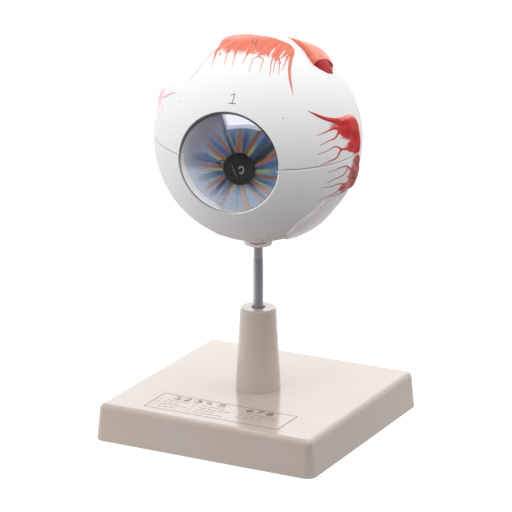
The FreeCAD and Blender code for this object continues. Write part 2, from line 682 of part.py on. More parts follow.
def make_muscles():
    make_muscle("superior_rectus", 0, 90, SUPERIOR_RECTUS, "superior_rectus_height")
    make_muscle("superior_oblique", 90, 60, SUPERIOR_OBLIQUE, "superior_oblique_height")
    make_muscle("lateral_rectus_upper", 80, 0, above_seam(LATERAL_UPPER, 1), "lateral_rectus_height")
    make_muscle("lateral_rectus_lower", 80, 0, above_seam(LATERAL_LOWER, -1), "lateral_rectus_height")
    make_muscle("medial_rectus_upper", -80, 0, mirrored(above_seam(LATERAL_UPPER, 1)), "medial_rectus_height")
    make_muscle("medial_rectus_lower", -80, 0, mirrored(above_seam(LATERAL_LOWER, -1)), "medial_rectus_height")
    make_muscle("inferior_rectus", 0, -90, INFERIOR_RECTUS, "inferior_rectus_height", clear_of_boss=True)
    make_muscle("inferior_oblique", 64, -45, INFERIOR_OBLIQUE, "inferior_oblique_height")


# ---------------------------------------------------------------- build, check, write

make_base_plate()
make_post()
make_base_screw()
make_rod()
make_sclera("sclera_lower", upper=False)
make_sclera("sclera_upper", upper=True)
make_threaded_insert()
make_locating_pegs()
make_choroid("choroid_lower", upper=False)
make_choroid("choroid_upper", upper=True)
make_optic_nerve()
make_cornea()
make_iris()
make_lens()
make_ciliary_body()
make_vitreous_body()
make_muscles()
doc.recompute()

for item in doc.Objects:
    if "Invalid" in item.State or "Error" in item.State:
        raise RuntimeError("%s failed to compute" % item.Label)
for piece in sub_parts:
    if piece.Shape.isNull() or not piece.Shape.isValid():
        raise RuntimeError("%s has no valid shape" % piece.Label)

os.makedirs("parts", exist_ok=True)
for piece in sub_parts:
    piece.Shape.exportStep("parts/%s.step" % piece.Label)
    print("%-22s %d solid(s) %10.1f mm3" % (piece.Label, len(piece.Shape.Solids), piece.Shape.Volume))
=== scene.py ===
"""Looks of the eye anatomy model: a five-times-size left eye in a split shell, on a rod and stand."""

import math
import random

import bmesh
import bpy
import numpy as np
from mathutils import Matrix, Vector
from mathutils.bvhtree import BVHTree
from mathutils.geometry import delaunay_2d_cdt


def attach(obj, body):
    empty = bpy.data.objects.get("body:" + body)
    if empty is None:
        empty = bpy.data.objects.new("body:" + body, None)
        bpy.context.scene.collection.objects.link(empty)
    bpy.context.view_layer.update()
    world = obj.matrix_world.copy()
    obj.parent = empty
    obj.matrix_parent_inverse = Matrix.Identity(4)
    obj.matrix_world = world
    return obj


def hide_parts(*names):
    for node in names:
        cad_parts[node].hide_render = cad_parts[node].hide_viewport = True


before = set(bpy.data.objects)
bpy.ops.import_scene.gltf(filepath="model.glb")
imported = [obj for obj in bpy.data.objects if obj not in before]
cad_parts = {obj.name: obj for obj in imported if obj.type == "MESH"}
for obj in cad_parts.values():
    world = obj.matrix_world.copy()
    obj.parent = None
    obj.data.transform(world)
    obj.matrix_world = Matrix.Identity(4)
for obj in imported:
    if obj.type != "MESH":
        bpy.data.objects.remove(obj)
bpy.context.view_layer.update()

# ---------------------------------------------------------------- sizes, in millimetres

MM = 0.001
EYE_HEIGHT = 183.6
EYE_YAW, EYE_TILT, EYE_PITCH = 9.0, 3.7, 2.0
EYE_RADIUS = 63.5
SCLERA_WALL = 3.0
LIMBUS_RADIUS = 31.0
RIM_FRONT = math.sqrt(EYE_RADIUS ** 2 - LIMBUS_RADIUS ** 2)
LEDGE_FRONT = 45.5
LEDGE_BACK = 43.0
LEDGE_INNER = 24.0
LEDGE_ROOT = 53.4
RECESS_OUTER = 33.5
BOSS_RADIUS = 8.65
BOSS_DROP = 4.0
BOSS_ROOT = 60.8
INSERT_RADIUS = 5.2
PEG_LONGITUDES = (72, 180, -72)
PEG_HOLE_RADIUS = 1.05
PEG_SINK = 4.6
PEG_HOLE_DEPTH = 8.2
NERVE_HOLE_RADIUS = 8.8
NERVE_LONGITUDE = 195.0
NERVE_END = 78.0
CHOROID_OUTSIDE, CHOROID_INSIDE, CHOROID_FRONT = 60.2, 58.2, 42.7
PLUG_RADIUS = 30.7
CORNEA_RADIUS = 30.92
CORNEA_CURVE = 39.0
CORNEA_WALL = 1.5
CORNEA_CENTRE = RIM_FRONT - math.sqrt(CORNEA_CURVE ** 2 - PLUG_RADIUS ** 2)
SKIRT_WALL = 0.45
IRIS_BACK, IRIS_FRONT = 45.5, 47.0
IRIS_CENTRE = (4.3, -5.3)
PUPIL_RADIUS = 9.6
PUPIL_FRONT = 49.5
PUPIL_STEM = 7.5
ROD_RADIUS = 3.2
ROD_FOOT, THREAD_START, ROD_TOP = 31.6, 106.5, 122.1
BASE_HEIGHT = 23.0

# From the eyeball's own frame (millimetres, -Y forward, +Z square to the seam) to the world's
EYE_TURN = (Matrix.Rotation(math.radians(EYE_YAW), 4, "Z") @ Matrix.Rotation(math.radians(EYE_TILT), 4, "Y")
            @ Matrix.Rotation(math.radians(EYE_PITCH), 4, "X"))
WORLD = Matrix.Scale(MM, 4)
IN_EYE = WORLD @ Matrix.Translation((0, 0, EYE_HEIGHT)) @ EYE_TURN
# Straight down, and forward, in the eyeball's own frame
DOWN = EYE_TURN.inverted() @ Vector((0, 0, -1))
FORWARD = Vector((0, -1, 0))


def direction(longitude, latitude):
    """Unit vector in the eyeball's frame: longitude from the front towards the temple, in degrees."""
    east, north = math.radians(longitude), math.radians(latitude)
    return Vector((math.sin(east) * math.cos(north), -math.cos(east) * math.cos(north), math.sin(north)))


# ---------------------------------------------------------------- materials

def srgb(red, green, blue):
    """Linear colour of an 8-bit screen colour."""
    return [v / 255 / 12.92 if v <= 10 else ((v / 255 + 0.055) / 1.055) ** 2.4 for v in (red, green, blue)]


def set_input(tree, socket, value):
    """Links a node or a socket to the input, or sets the input's own value."""
    if isinstance(value, bpy.types.Node):
        value = value.outputs[0]
    if isinstance(value, bpy.types.NodeSocket):
        tree.links.new(value, socket)
    elif socket.type == "RGBA" and len(value) == 3:
        socket.default_value = (*value, 1)
    else:
        socket.default_value = value


def add_node(tree, kind, inputs=(), **settings):
    """A new shader node with its inputs set or linked."""
    node = tree.nodes.new("ShaderNode" + kind)
    for name, value in settings.items():
        setattr(node, name, value)
    for key, value in dict(inputs).items():
        set_input(tree, node.inputs[key], value)
    return node


def wire(tree, shader, **sources):
    """Sets or links the shader's inputs, named with _ for each space."""
    for key, value in sources.items():
        set_input(tree, shader.inputs[key.replace("_", " ")], value)


def new_material(name, **constants):
    """A Principled material, its tree and its shader node."""
    material = bpy.data.materials.new(name)
    material.use_nodes = True
    tree = material.node_tree
    shader = tree.nodes["Principled BSDF"]
    wire(tree, shader, **constants)
    return material, tree, shader


def show_surface(tree, shader):
    """Makes a shader node what the tree puts out."""
    output = next(node for node in tree.nodes if node.type in ("OUTPUT_MATERIAL", "OUTPUT_WORLD"))
    set_input(tree, output.inputs["Surface"], shader)


def reckon(tree, operation, first, second):
    """Works out one value from two."""
    return add_node(tree, "Math", {0: first, 1: second}, operation=operation).outputs[0]


def along_axis(tree, spot, axis):
    """How far a place lies along a fixed axis."""
    return add_node(tree, "VectorMath", {0: spot, 1: tuple(axis)}, operation="DOT_PRODUCT").outputs["Value"]


def away_from(tree, spot, centre=(0, 0, 0)):
    """How far a place lies from a fixed one."""
    return add_node(tree, "VectorMath", {0: spot, 1: tuple(centre)}, operation="DISTANCE").outputs["Value"]


def ramp(tree, value, start, end, low=0.0, high=1.0, kind="SMOOTHSTEP"):
    """Goes from low to high while the value goes from start to end."""
    inputs = {"Value": value, "From Min": start, "From Max": end, "To Min": low, "To Max": high}
    return add_node(tree, "MapRange", inputs, interpolation_type=kind).outputs[0]


def place(tree, stretch=(1, 1, 1), kind="Object"):
    """Texture coordinates, scaled."""
    coordinates = add_node(tree, "TexCoord")
    return add_node(tree, "Mapping", {"Vector": coordinates.outputs[kind], "Scale": stretch}).outputs[0]


def noise(tree, scale, detail=2.0, vector=None, roughness=0.5, distortion=0.0):
    """A cloudy value, over the object's own coordinates unless a vector is given."""
    inputs = {"Scale": scale, "Detail": detail, "Roughness": roughness, "Distortion": distortion}
    inputs["Vector"] = vector or place(tree)
    return add_node(tree, "TexNoise", inputs).outputs[0]


def span(tree, value, low, high, from_low=0.3, from_high=0.7):
    """Stretches a noise value to lie between low and high."""
    return ramp(tree, value, from_low, from_high, low, high, "LINEAR")


def blend(tree, factor, first, second):
    """The first value where factor is 0, the second where it is 1."""
    return add_node(tree, "Mix", {0: factor, 2: first, 3: second}).outputs[0]


def blend_colours(tree, factor, first, second):
    """The same for colours."""
    return add_node(tree, "Mix", {0: factor, 6: first, 7: second}, data_type="RGBA").outputs[2]


def blend_shaders(tree, factor, first, second):
    """The same for shaders."""
    return add_node(tree, "MixShader", {0: factor, 1: first, 2: second})


def emboss(tree, shader, height, distance, normal=None):
    """Bump from a height value; distance is in millimetres."""
    inputs = {"Height": height, "Distance": distance * MM}
    if normal:
        inputs["Normal"] = normal
    bump = add_node(tree, "Bump", inputs).outputs[0]
    wire(tree, shader, Normal=bump)
    return bump


def plastic(name, colour, shade, roughness, patch=30.0, orange_peel=0.02, fleck=0.0, wave=0.0, **constants):
    """Moulded plastic: slow colour drift between two colours, uneven gloss and a fine skin on slow waves."""
    material, tree, shader = new_material(name, **constants)
    shade = srgb(*shade)
    tone = blend_colours(tree, span(tree, noise(tree, patch, 3.0), 0, 1), srgb(*colour), shade)
    if fleck:
        specks = span(tree, noise(tree, 900.0, 1.0), 0, fleck, 0.62, 0.75)
        tone = blend_colours(tree, specks, tone, shade)
    gloss = span(tree, noise(tree, patch * 4, 4.0), roughness * 0.85, roughness * 1.2)
    wire(tree, shader, Base_Color=tone, Roughness=gloss)
    slow = emboss(tree, shader, noise(tree, 42.0, 1.0), wave) if wave else None
    emboss(tree, shader, noise(tree, 350.0, 2.0), orange_peel, slow)
    return material


WHITE = plastic("sclera_white", (236, 233, 234), (228, 224, 226), 0.30, 25.0, 0.02, IOR=1.5)
BEIGE = plastic("stand_beige", (196, 184, 174), (191, 178, 167), 0.16, 18.0, 0.012, 0.12, 0.25, IOR=1.55)
NERVE = plastic("nerve_cream", (216, 192, 140), (204, 176, 120), 0.42, 80.0, 0.05)
PEG = plastic("peg_nylon", (225, 220, 205), (210, 204, 190), 0.4, 200.0)
CUT_GREY = plastic("cut_face_grey", (228, 220, 216), (212, 202, 198), 0.5, 300.0, 0.08)
BLACK = plastic("pupil_black", (20, 20, 24), (28, 28, 34), 0.5, 200.0, 0.004)
INK = plastic("ink_grey", (70, 60, 66), (95, 85, 90), 0.6, 900.0)
PRINT = plastic("print_grey", (36, 31, 37), (58, 51, 57), 0.5, 700.0)
FAINT_PRINT = plastic("print_faint", (124, 113, 117), (96, 87, 92), 0.5, 500.0)
PALE_INK = plastic("ink_pale", (190, 190, 195), (150, 150, 155), 0.5, 900.0)
# painted shade: dark colour of the bead round the cornea, where the rim lies in shade
SHADE_BEAD_DARK = plastic("cornea_shade_bead_dark", (58, 54, 64), (44, 42, 50), 0.35, 300.0)


def metal(name, colour, shade, roughness, brushed=(1, 1, 1), metallic=1.0):
    """Bare or plated metal with drawn lines and a cloudy plating."""
    material, tree, shader = new_material(name, Metallic=metallic)
    clouds = noise(tree, 300.0, 3.0, place(tree, brushed))
    tone = blend_colours(tree, span(tree, clouds, 0, 1), srgb(*colour), srgb(*shade))
    lines = noise(tree, 1500.0, 2.0, place(tree, brushed))
    wire(tree, shader, Base_Color=tone, Roughness=span(tree, lines, roughness * 0.8, roughness * 1.3))
    emboss(tree, shader, lines, 0.004)
    return material


ZINC = metal("zinc_plated_steel", (212, 212, 218), (196, 196, 204), 0.42, (1, 1, 0.02), 0.85)
STEEL = metal("screw_steel", (190, 190, 192), (165, 165, 168), 0.3)
BRASS = metal("insert_brass", (205, 170, 95), (185, 145, 75), 0.3)


def paint(name, colour, streak, tip, roughness=0.34):
    """Brushed-on enamel: streaks along the fibres, the tip colour where "fade" nears 1 (thinner, paler
    paint at the ends of strokes; painted shade in the ciliary folds), and a painted highlight where it nears
    -1."""
    material, tree, shader = new_material(name, IOR=1.3)
    streak = srgb(*streak)
    fibres = noise(tree, 60.0, 3.0, place(tree, (1, 0.12, 1), "UV"), 0.6, 0.4)
    clouds = noise(tree, 140.0, 2.0)
    body = blend_colours(tree, span(tree, fibres, 0, 1), srgb(*colour), streak)
    body = blend_colours(tree, span(tree, clouds, 0, 0.35), body, streak)
    fade = add_node(tree, "Attribute", attribute_name="fade").outputs["Fac"]
    # painted highlight: pale salmon laid over the paint where fade is negative
    body = blend_colours(tree, reckon(tree, "MULTIPLY", fade, -1.0), body, srgb(236, 150, 134))
    wire(tree, shader, Base_Color=blend_colours(tree, fade, body, srgb(*tip)),
         Roughness=span(tree, clouds, roughness * 0.8, roughness * 1.25))
    emboss(tree, shader, fibres, 0.12)
    return material


# painted light: the same enamel as the temple's red, painted paler salmon where light from above falls on the
# top muscles
LIT_MUSCLE_ENAMEL = paint("muscle_enamel_painted_light", (222, 128, 102), (206, 98, 72), (214, 150, 146))
RED = paint("muscle_red", (214, 52, 46), (196, 40, 42), (190, 90, 96), 0.42)
MAROON = paint("muscle_maroon", (212, 130, 128), (172, 68, 72), (150, 70, 88), 0.42)
CUT_RED = paint("muscle_cut_end", (186, 40, 42), (160, 30, 38), (150, 30, 36), 0.3)
# painted light: the nose's stump is the same muscle enamel, painted pale pink where bright light washes it
# out
LIGHT_WASHED_MUSCLE_ENAMEL = paint("muscle_enamel_light_washed", (236, 206, 207), (232, 192, 195), (232, 226, 228))

ARTERY = plastic("artery_red", (196, 40, 36), (170, 30, 30), 0.35, 300.0)
VEIN = plastic("vein_blue", (62, 70, 130), (50, 56, 112), 0.35, 300.0)
DARK_VEIN = plastic("vein_maroon", (84, 30, 44), (70, 26, 40), 0.35, 300.0)
NERVE_CORE = plastic("nerve_fibres", (236, 208, 128), (214, 176, 92), 0.5, 900.0, 0.15)
# the dark tip colour is painted shade in the hollows of the ciliary pleats
CILIARY_BROWN_AND_FOLD_SHADE = paint("ciliary_brown_fold_shade", (150, 82, 58), (128, 62, 48), (82, 40, 34), 0.4)


def choroid_paint(node):
    """Red-brown outside, orange retina inside with a pale optic disc and a dark spot beside it."""
    material, tree, shader = new_material("paint_" + node)
    into_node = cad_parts[node].matrix_world.inverted() @ IN_EYE
    spot = place(tree)
    clouds = noise(tree, 70.0, 4.0)
    mottle = span(tree, clouds, 0, 1)
    outer = blend_colours(tree, mottle, srgb(150, 62, 44), srgb(118, 44, 36))
    inner = blend_colours(tree, mottle, srgb(226, 134, 72), srgb(206, 108, 60))
    optic_disc = (NERVE_LONGITUDE, 4.2, 0.8, srgb(244, 214, 140))
    yellow_spot = (178.0, 1.5, 4.5, srgb(150, 62, 44))
    for longitude, radius, soft, colour in (optic_disc, yellow_spot):
        away = away_from(tree, spot, into_node @ (direction(longitude, 0) * CHOROID_INSIDE))
        inner = blend_colours(tree, ramp(tree, away, (radius + soft) * MM, radius * MM), inner, colour)
    from_middle = away_from(tree, spot, into_node @ Vector((0, 0, 0)))
    is_inside = reckon(tree, "LESS_THAN", from_middle, (CHOROID_INSIDE + 1.0) * MM)
    wire(tree, shader, Base_Color=blend_colours(tree, is_inside, outer, inner),
         Roughness=span(tree, clouds, 0.3, 0.45))
    emboss(tree, shader, noise(tree, 250.0, 3.0), 0.05)
    return material


def clear(name, tint, roughness, polish=0.0):
    """Clear plastic, with a share of mirror polish. Lamps and scattered light pass straight through it."""
    material, tree, shader = new_material(name)
    tree.nodes.remove(shader)
    haze = span(tree, noise(tree, 400.0, 2.0), roughness * 0.5, roughness * 1.5)
    glass = add_node(tree, "BsdfGlass", {"Color": tint, "IOR": ACRYLIC_IOR, "Roughness": haze})
    if polish:
        mirror = add_node(tree, "BsdfAnisotropic", {"Color": (1, 1, 1), "Roughness": 0.03})
        glass = blend_shaders(tree, polish, glass, mirror)
    through = add_node(tree, "BsdfTransparent", {"Color": tint})
    path = add_node(tree, "LightPath").outputs
    passing = reckon(tree, "MAXIMUM", path["Is Shadow Ray"], path["Is Diffuse Ray"])
    show_surface(tree, blend_shaders(tree, passing, glass, through))
    return material


ACRYLIC_IOR = 1.49
CHOROID_PAINTS = {node: choroid_paint(node) for node in ("choroid_upper", "choroid_lower")}
CLEAR = clear("clear_acrylic", (0.955, 0.97, 0.985), 0.02)
DOME_CLEAR = clear("cornea_acrylic", (0.985, 0.985, 0.99), 0.02, 0.10)
LENS_CLEAR = clear("lens_acrylic", (0.97, 0.97, 0.95), 0.01)


def painted_iris():
    """Brush strokes come from the mesh's colours; the nodes add pigment grain and a varnish."""
    material, tree, shader = new_material("iris_paint", IOR=1.5)
    strokes = add_node(tree, "Attribute", attribute_name="strokes").outputs["Color"]
    grain = noise(tree, 1400.0, 3.0)
    bristles = noise(tree, 30.0, 3.0, place(tree, (18, 1, 1), "UV"), 0.6)
    tone = blend_colours(tree, span(tree, grain, 0, 0.10), strokes, srgb(40, 60, 100))
    tone = blend_colours(tree, span(tree, bristles, 0, 0.10), tone, srgb(190, 205, 230))
    wire(tree, shader, Base_Color=tone, Roughness=span(tree, grain, 0.3, 0.45))
    emboss(tree, shader, bristles, 0.1)
    return material


IRIS_PAINT = painted_iris()


# ---------------------------------------------------------------- meshes

def new_mesh(name, vertices, faces, transform):
    """A mesh of transformed vertices."""
    mesh = bpy.data.meshes.new(name)
    mesh.from_pydata([transform @ Vector(v) for v in vertices], [], faces)
    return mesh


def show(name, content):
    """A new object in the scene."""
    shown = bpy.data.objects.new(name, content)
    bpy.context.scene.collection.objects.link(shown)
    return shown


def piece(name, shape, body, materials, transform=IN_EYE, replaces=(), sharp=35.0):
    """A visible piece from a closed shape's millimetre vertices and faces, riding on a body."""
    mesh = new_mesh(name, *shape, transform)
    face_outward(mesh)
    return finish_piece(name, mesh, body, materials, replaces, sharp)


def moved(shape, transform):
    """The shape's vertices, moved, and its faces."""
    vertices, faces = shape
    return [transform @ Vector(v) for v in vertices], faces


def face_outward(mesh):
    """Turns a closed mesh's faces outward."""
    shape = bmesh.new()
    shape.from_mesh(mesh)
    bmesh.ops.recalc_face_normals(shape, faces=shape.faces)
    shape.to_mesh(mesh)
    shape.free()


def finish_piece(name, mesh, body, materials, replaces=(), sharp=35.0):
    """Shades a mesh, with sharp edges past an angle in degrees, and puts it on its body."""
    mesh.validate()
    mesh.shade_smooth()
    mesh.set_sharp_from_angle(angle=math.radians(sharp))
    for material in materials:
        mesh.materials.append(material)
    shown = show(name, mesh)
    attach(shown, body)
    if replaces:
        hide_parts(*replaces)
    return shown


def join_rings(rings, closed=False):
    """Faces between rings of vertex numbers, in which a ring of one vertex is a pole. If they are
    closed, the last ring joins the first."""
    faces = []
    segments = max(len(ring) for ring in rings)
    for low, high in zip(rings, rings[1:] + (rings[:1] if closed else [])):
        for step in range(segments):
            after = (step + 1) % segments
            corners = ((low, step), (low, after), (high, after), (high, step))
            corners = list(dict.fromkeys(ring[number % len(ring)] for ring, number in corners))
            if len(corners) > 2:
                faces.append(corners)
    return faces


def lathe(profile, segments=160, about="Z", closed=False, carve=None):
    """Turns a profile of (radius, height) about an axis; points of radius 0 become poles. With a
    closed profile the last point joins the first. Height runs along +Z, or forward (-Y). A carve
    function gives the radius for (radius, height, turn)."""
    vertices, rings = [], []
    for radius, height in profile:
        ring = []
        for step in range(segments if radius else 1):
            turn = math.tau * step / segments
            reach = carve(radius, height, turn) if carve else radius
            a, b = reach * math.cos(turn), reach * math.sin(turn)
            ring.append(len(vertices))
            vertices.append((a, b, height) if about == "Z" else (a, -height, b))
        rings.append(ring)
    return vertices, join_rings(rings, closed)


def arc(radius, start, end, steps, centre=(0, 0)):
    """Points (across, along) on a circle; angles in degrees, 0 along the axis."""
    return [(centre[0] + radius * math.sin(a), centre[1] + radius * math.cos(a))
            for a in (math.radians(start + (end - start) * i / steps) for i in range(steps + 1))]


def solid(shape, transform=Matrix.Identity(4)):
    """A closed mesh of vertices and faces with outward normals, for building other meshes."""
    mesh = new_mesh("solid", *shape, transform)
    face_outward(mesh)
    return mesh


def combine(mesh, tools):
    """Adds, cuts or keeps the overlap with each (operation, mesh) tool in turn."""
    base = show("combining", mesh)
    helpers = []
    for operation, tool in tools:
        helper = show("tool", tool)
        helpers.append(helper)
        modifier = base.modifiers.new("combine", "BOOLEAN")
        modifier.operation = operation
        modifier.object = helper
        modifier.solver = "MANIFOLD"
    bpy.context.view_layer.update()
    result = bpy.data.meshes.new_from_object(base.evaluated_get(bpy.context.evaluated_depsgraph_get()))
    for used in [base] + helpers:
        bpy.data.objects.remove(used)
    return result


def along(heading, start=(0, 0, 0)):
    """A transform that stands a Z lathe on start, pointing along heading."""
    return Matrix.Translation(start) @ Vector(heading).to_track_quat("Z", "Y").to_matrix().to_4x4()


def rod_shape(radius, bottom, top, transform, segments=96):
    """A plain cylinder."""
    return solid(lathe([(0, bottom), (radius, bottom), (radius, top), (0, top)], segments), transform)


def block(low, high):
    """A box between two corners."""
    corners = [(x, y, z) for x in (low[0], high[0]) for y in (low[1], high[1]) for z in (low[2], high[2])]
    faces = [(0, 1, 3, 2), (4, 6, 7, 5), (0, 4, 5, 1), (2, 3, 7, 6), (0, 2, 6, 4), (1, 5, 7, 3)]
    return solid((corners, faces))


# ---------------------------------------------------------------- the sphere's own directions

class Patch:
    """Millimetres on the plane that touches the sphere at (longitude, latitude), laid on the sphere."""

    def __init__(self, longitude, latitude, mirror=False, radius=EYE_RADIUS, outward=1):
        self.centre = direction(longitude, latitude)
        self.east = direction(longitude + 90, 0) * (-1 if mirror else 1)
        self.north = direction(longitude, latitude).cross(direction(longitude + 90, 0))
        self.radius, self.outward = radius, outward

    def at(self, across, up, lift=0.0):
        depth = math.sqrt(max(self.radius ** 2 - across ** 2 - up ** 2, 0.0))
        unit = (self.centre * depth + self.east * across + self.north * up) / self.radius
        return unit * (self.radius + lift * self.outward)


class Relief(Patch):
    """The same, laid on a raised shape that has been built on the sphere."""

    def __init__(self, longitude, latitude, build):
        super().__init__(longitude, latitude)
        self.surface = BVHTree.FromPolygons(build.vertices, build.faces)

    def at(self, across, up, lift=0.0):
        outward = super().at(across, up).normalized()
        hit = self.surface.ray_cast(outward * (EYE_RADIUS + 9), -outward)[0]
        return (hit or outward * EYE_RADIUS) + outward * lift


class Flat:
    """The same on a plane: a printed or painted place on a flat face."""

    def __init__(self, origin, right, up):
        self.origin, self.right, self.up = Vector(origin), Vector(right), Vector(up)
        self.out = self.right.cross(self.up)

    def at(self, across, up, lift=0.0):
        return self.origin + self.right * across + self.up * up + self.out * lift


def smooth_path(points, step):
    """A Catmull-Rom line through points of any length, sampled about every step."""
    points = [np.array(p, float) for p in points]
    padded = [2 * points[0] - points[1]] + points + [2 * points[-1] - points[-2]]
    out = []
    for a, b, c, d in zip(padded, padded[1:], padded[2:], padded[3:]):
        count = max(1, math.ceil(np.linalg.norm((c - b)[:2]) / step))
        for i in range(count):
            t = i / count
            out.append(0.5 * (2 * b + (c - a) * t + (2 * a - 5 * b + 4 * c - d) * t * t
                              + (3 * b - a - 3 * c + d) * t ** 3))
    out.append(points[-1])
    return out


def evenly(points, step):
    """Straight runs between points, cut to about step."""
    out = []
    for a, b in zip(points, points[1:]):
        a, b = np.array(a, float), np.array(b, float)
        count = max(1, math.ceil(np.linalg.norm(b - a) / step))
        out += [a + (b - a) * i / count for i in range(count)]
    out.append(np.array(points[-1], float))
    return out


def distance_to(points, line):
    """Distance of each point to a polyline, all 2-D."""
    best = np.full(len(points), 1e9)
    for a, b in zip(line, line[1:]):
        a, b = np.array(a[:2], float), np.array(b[:2], float)
        run = b - a
        share = np.clip(((points - a) @ run) / max(run @ run, 1e-9), 0, 1)
        best = np.minimum(best, np.linalg.norm(points - a - share[:, None] * run, axis=1))
    return best


class Build:
    """Collects vertices, faces, UVs and the "fade" of one painted piece."""

    def __init__(self, mirrored=False):
        self.vertices, self.faces, self.uv, self.fade, self.kind = [], [], [], [], []
        self.mirrored = mirrored

    def vertex(self, spot, uv, fade=0.0):
        """Adds a vertex and gives its number."""
        self.vertices.append(spot)
        self.uv.append((uv[0] * 0.01, uv[1] * 0.01))
        self.fade.append(fade)
        return len(self.vertices) - 1

    def face(self, corners, kind=0):
        """Corners run counter-clockwise as the patch is seen from outside."""
        self.faces.append(list(corners)[::-1] if self.mirrored else list(corners))
        self.kind.append(kind)

    def finish(self, name, body, slot, materials, replaces=(), transform=IN_EYE, sharp=50.0):
        """The piece itself; each face's kind is the number of its material."""
        mesh = new_mesh(name, self.vertices, self.faces, transform)
        shown = finish_piece(name, mesh, body, materials, replaces, sharp)
        fade = mesh.attributes.new("fade", "FLOAT", "POINT")
        fade.data.foreach_set("value", self.fade)
        layer = mesh.uv_layers.new(name="UVMap")
        corners = np.zeros(len(mesh.loops), np.int32)
        mesh.loops.foreach_get("vertex_index", corners)
        layer.data.foreach_set("uv", np.array(self.uv, np.float32)[corners].ravel())
        mesh.polygons.foreach_set("material_index", self.kind)
        if any(self.kind):
            mark_seams(mesh)
        return shown


def mark_seams(mesh):
    """Sharp edges where the material changes."""
    shape = bmesh.new()
    shape.from_mesh(mesh)
    for edge in shape.edges:
        if len({face.material_index for face in edge.link_faces}) > 1:
            edge.smooth = False
    shape.to_mesh(mesh)
    shape.free()


def stroke(build, patch, points, step=0.8, rise=0.16, sink=0.06, fade=(0.0, 1.0), kind=0, turn_uv=False):
    """A tapered brush stroke: points are (across, up, width)."""
    line = smooth_path(points, step)
    rows = []
    for index, (across, up, width) in enumerate(line):
        before, after = line[max(index - 1, 0)], line[min(index + 1, len(line) - 1)]
        run = (after - before)[:2]
        side = np.array((-run[1], run[0])) / max(np.linalg.norm(run), 1e-9)
        pale = fade[0] + (fade[1] - fade[0]) * (index / (len(line) - 1)) ** 1.6
        row = []
        for offset, lift in ((-0.5, -sink), (-0.3, rise * 0.7), (0, rise), (0.3, rise * 0.7), (0.5, -sink)):
            x, y = np.array((across, up)) + side * offset * width
            scaled = lift if lift < 0 else lift * min(1.0, width / 1.2) + 0.02
            row.append(build.vertex(patch.at(x, y, scaled), (y, x) if turn_uv else (x, y), pale))
        rows.append(row)
    for low, high in zip(rows, rows[1:]):
        for i in range(len(low) - 1):
            build.face((low[i + 1], low[i], high[i], high[i + 1]), kind)


def pen(build, patch, points, step=0.8, sink=0.01):
    """A thin line of one colour."""
    stroke(build, patch, points, step, 0.03, sink, (0, 0))


def hair(build, patch, start, middle, end, width, fade, turn_uv=False):
    """A fine short stroke that thins out."""
    stroke(build, patch, [(*start, width), (*middle, width * 0.7), (*end, 0.08)], rise=0.08, fade=fade,
           turn_uv=turn_uv)


def draw_veins(build, patch, veins, widths, fade, turn_uv=False):
    """Thin painted vessels that taper from the first width to the last."""
    for vein in veins:
        shares = [(i / (len(vein) - 1)) ** 0.8 for i in range(len(vein))]
        points = [(x, y, widths[0] + (widths[1] - widths[0]) * share) for (x, y), share in zip(vein, shares)]
        stroke(build, patch, points, fade=fade, turn_uv=turn_uv)


def ragged(line, grain, spacing, reach, seed):
    """Turns a line into teeth along grain: reach is (shortest, longest) out and in, in millimetres.
    Where the line itself runs along the grain the teeth are left out, so that it doesn't cross itself."""
    draw = random.Random(seed)
    grain = np.array(grain, float)
    out = []
    walk = evenly(line, spacing)
    for index, spot in enumerate(walk[:-1]):
        slant = draw.uniform(-0.15, 0.15)
        run = walk[index + 1] - spot
        square = min(1.0, abs(run[0] * grain[1] - run[1] * grain[0]) / (0.3 * np.linalg.norm(run)))
        lean = np.array((-grain[1], grain[0])) * slant * square
        notch = -grain * draw.uniform(*reach[1]) * square + lean
        tooth = grain * draw.uniform(*reach[0]) * square + lean
        out.append(spot + notch)
        middle = (spot + walk[index + 1]) / 2
        out.append(middle + tooth)
    out.append(walk[-1])
    return out


def inside(points, polygon):
    """Which 2-D points lie in a polygon."""
    hit = np.zeros(len(points), bool)
    x, y = points[:, 0], points[:, 1]
    for (ax, ay), (bx, by) in zip(polygon, polygon[1:] + polygon[:1]):
        crosses = (ay > y) != (by > y)
        with np.errstate(divide="ignore", invalid="ignore"):
            hit ^= crosses & (x < (bx - ax) * (y - ay) / (by - ay) + ax)
    return hit


# Spacing of a stump's places; the rows' spacing and the room left beside lines, as shares of it
STUMP_STEP, ROW_SHARE, CLEARANCE = 0.9, 0.87, 0.45
# Nearer than this to a line, a place counts as lying on it
TOUCHING = 0.05
# Thickness where paint runs out, at a cut's foot and at a rounded edge
PAINT_RISE, CUT_RISE, EDGE_RISE = 0.12, 0.25, 0.08
# Width of the painted highlight beside its line, and how far the skirt goes into the sphere
HIGHLIGHT_REACH, SKIRT_SINK = 1.8, 0.12


def stump_outline(edges):
    """The outline's points, counter-clockwise, and the role of the edge that starts at each."""
    outline, roles = [], []
    for points, role, _ in edges:
        run = points if role == "ragged" else evenly(points, STUMP_STEP)
        outline += [np.array(spot, float)[:2] for spot in run[:-1]]
        roles += [role] * (len(run) - 1)
    turning = sum(a[0] * b[1] - a[1] * b[0] for a, b in zip(outline, outline[1:] + outline[:1]))
    if turning < 0:
        outline.reverse()
        roles = roles[-2::-1] + roles[-1:]
    return outline, roles


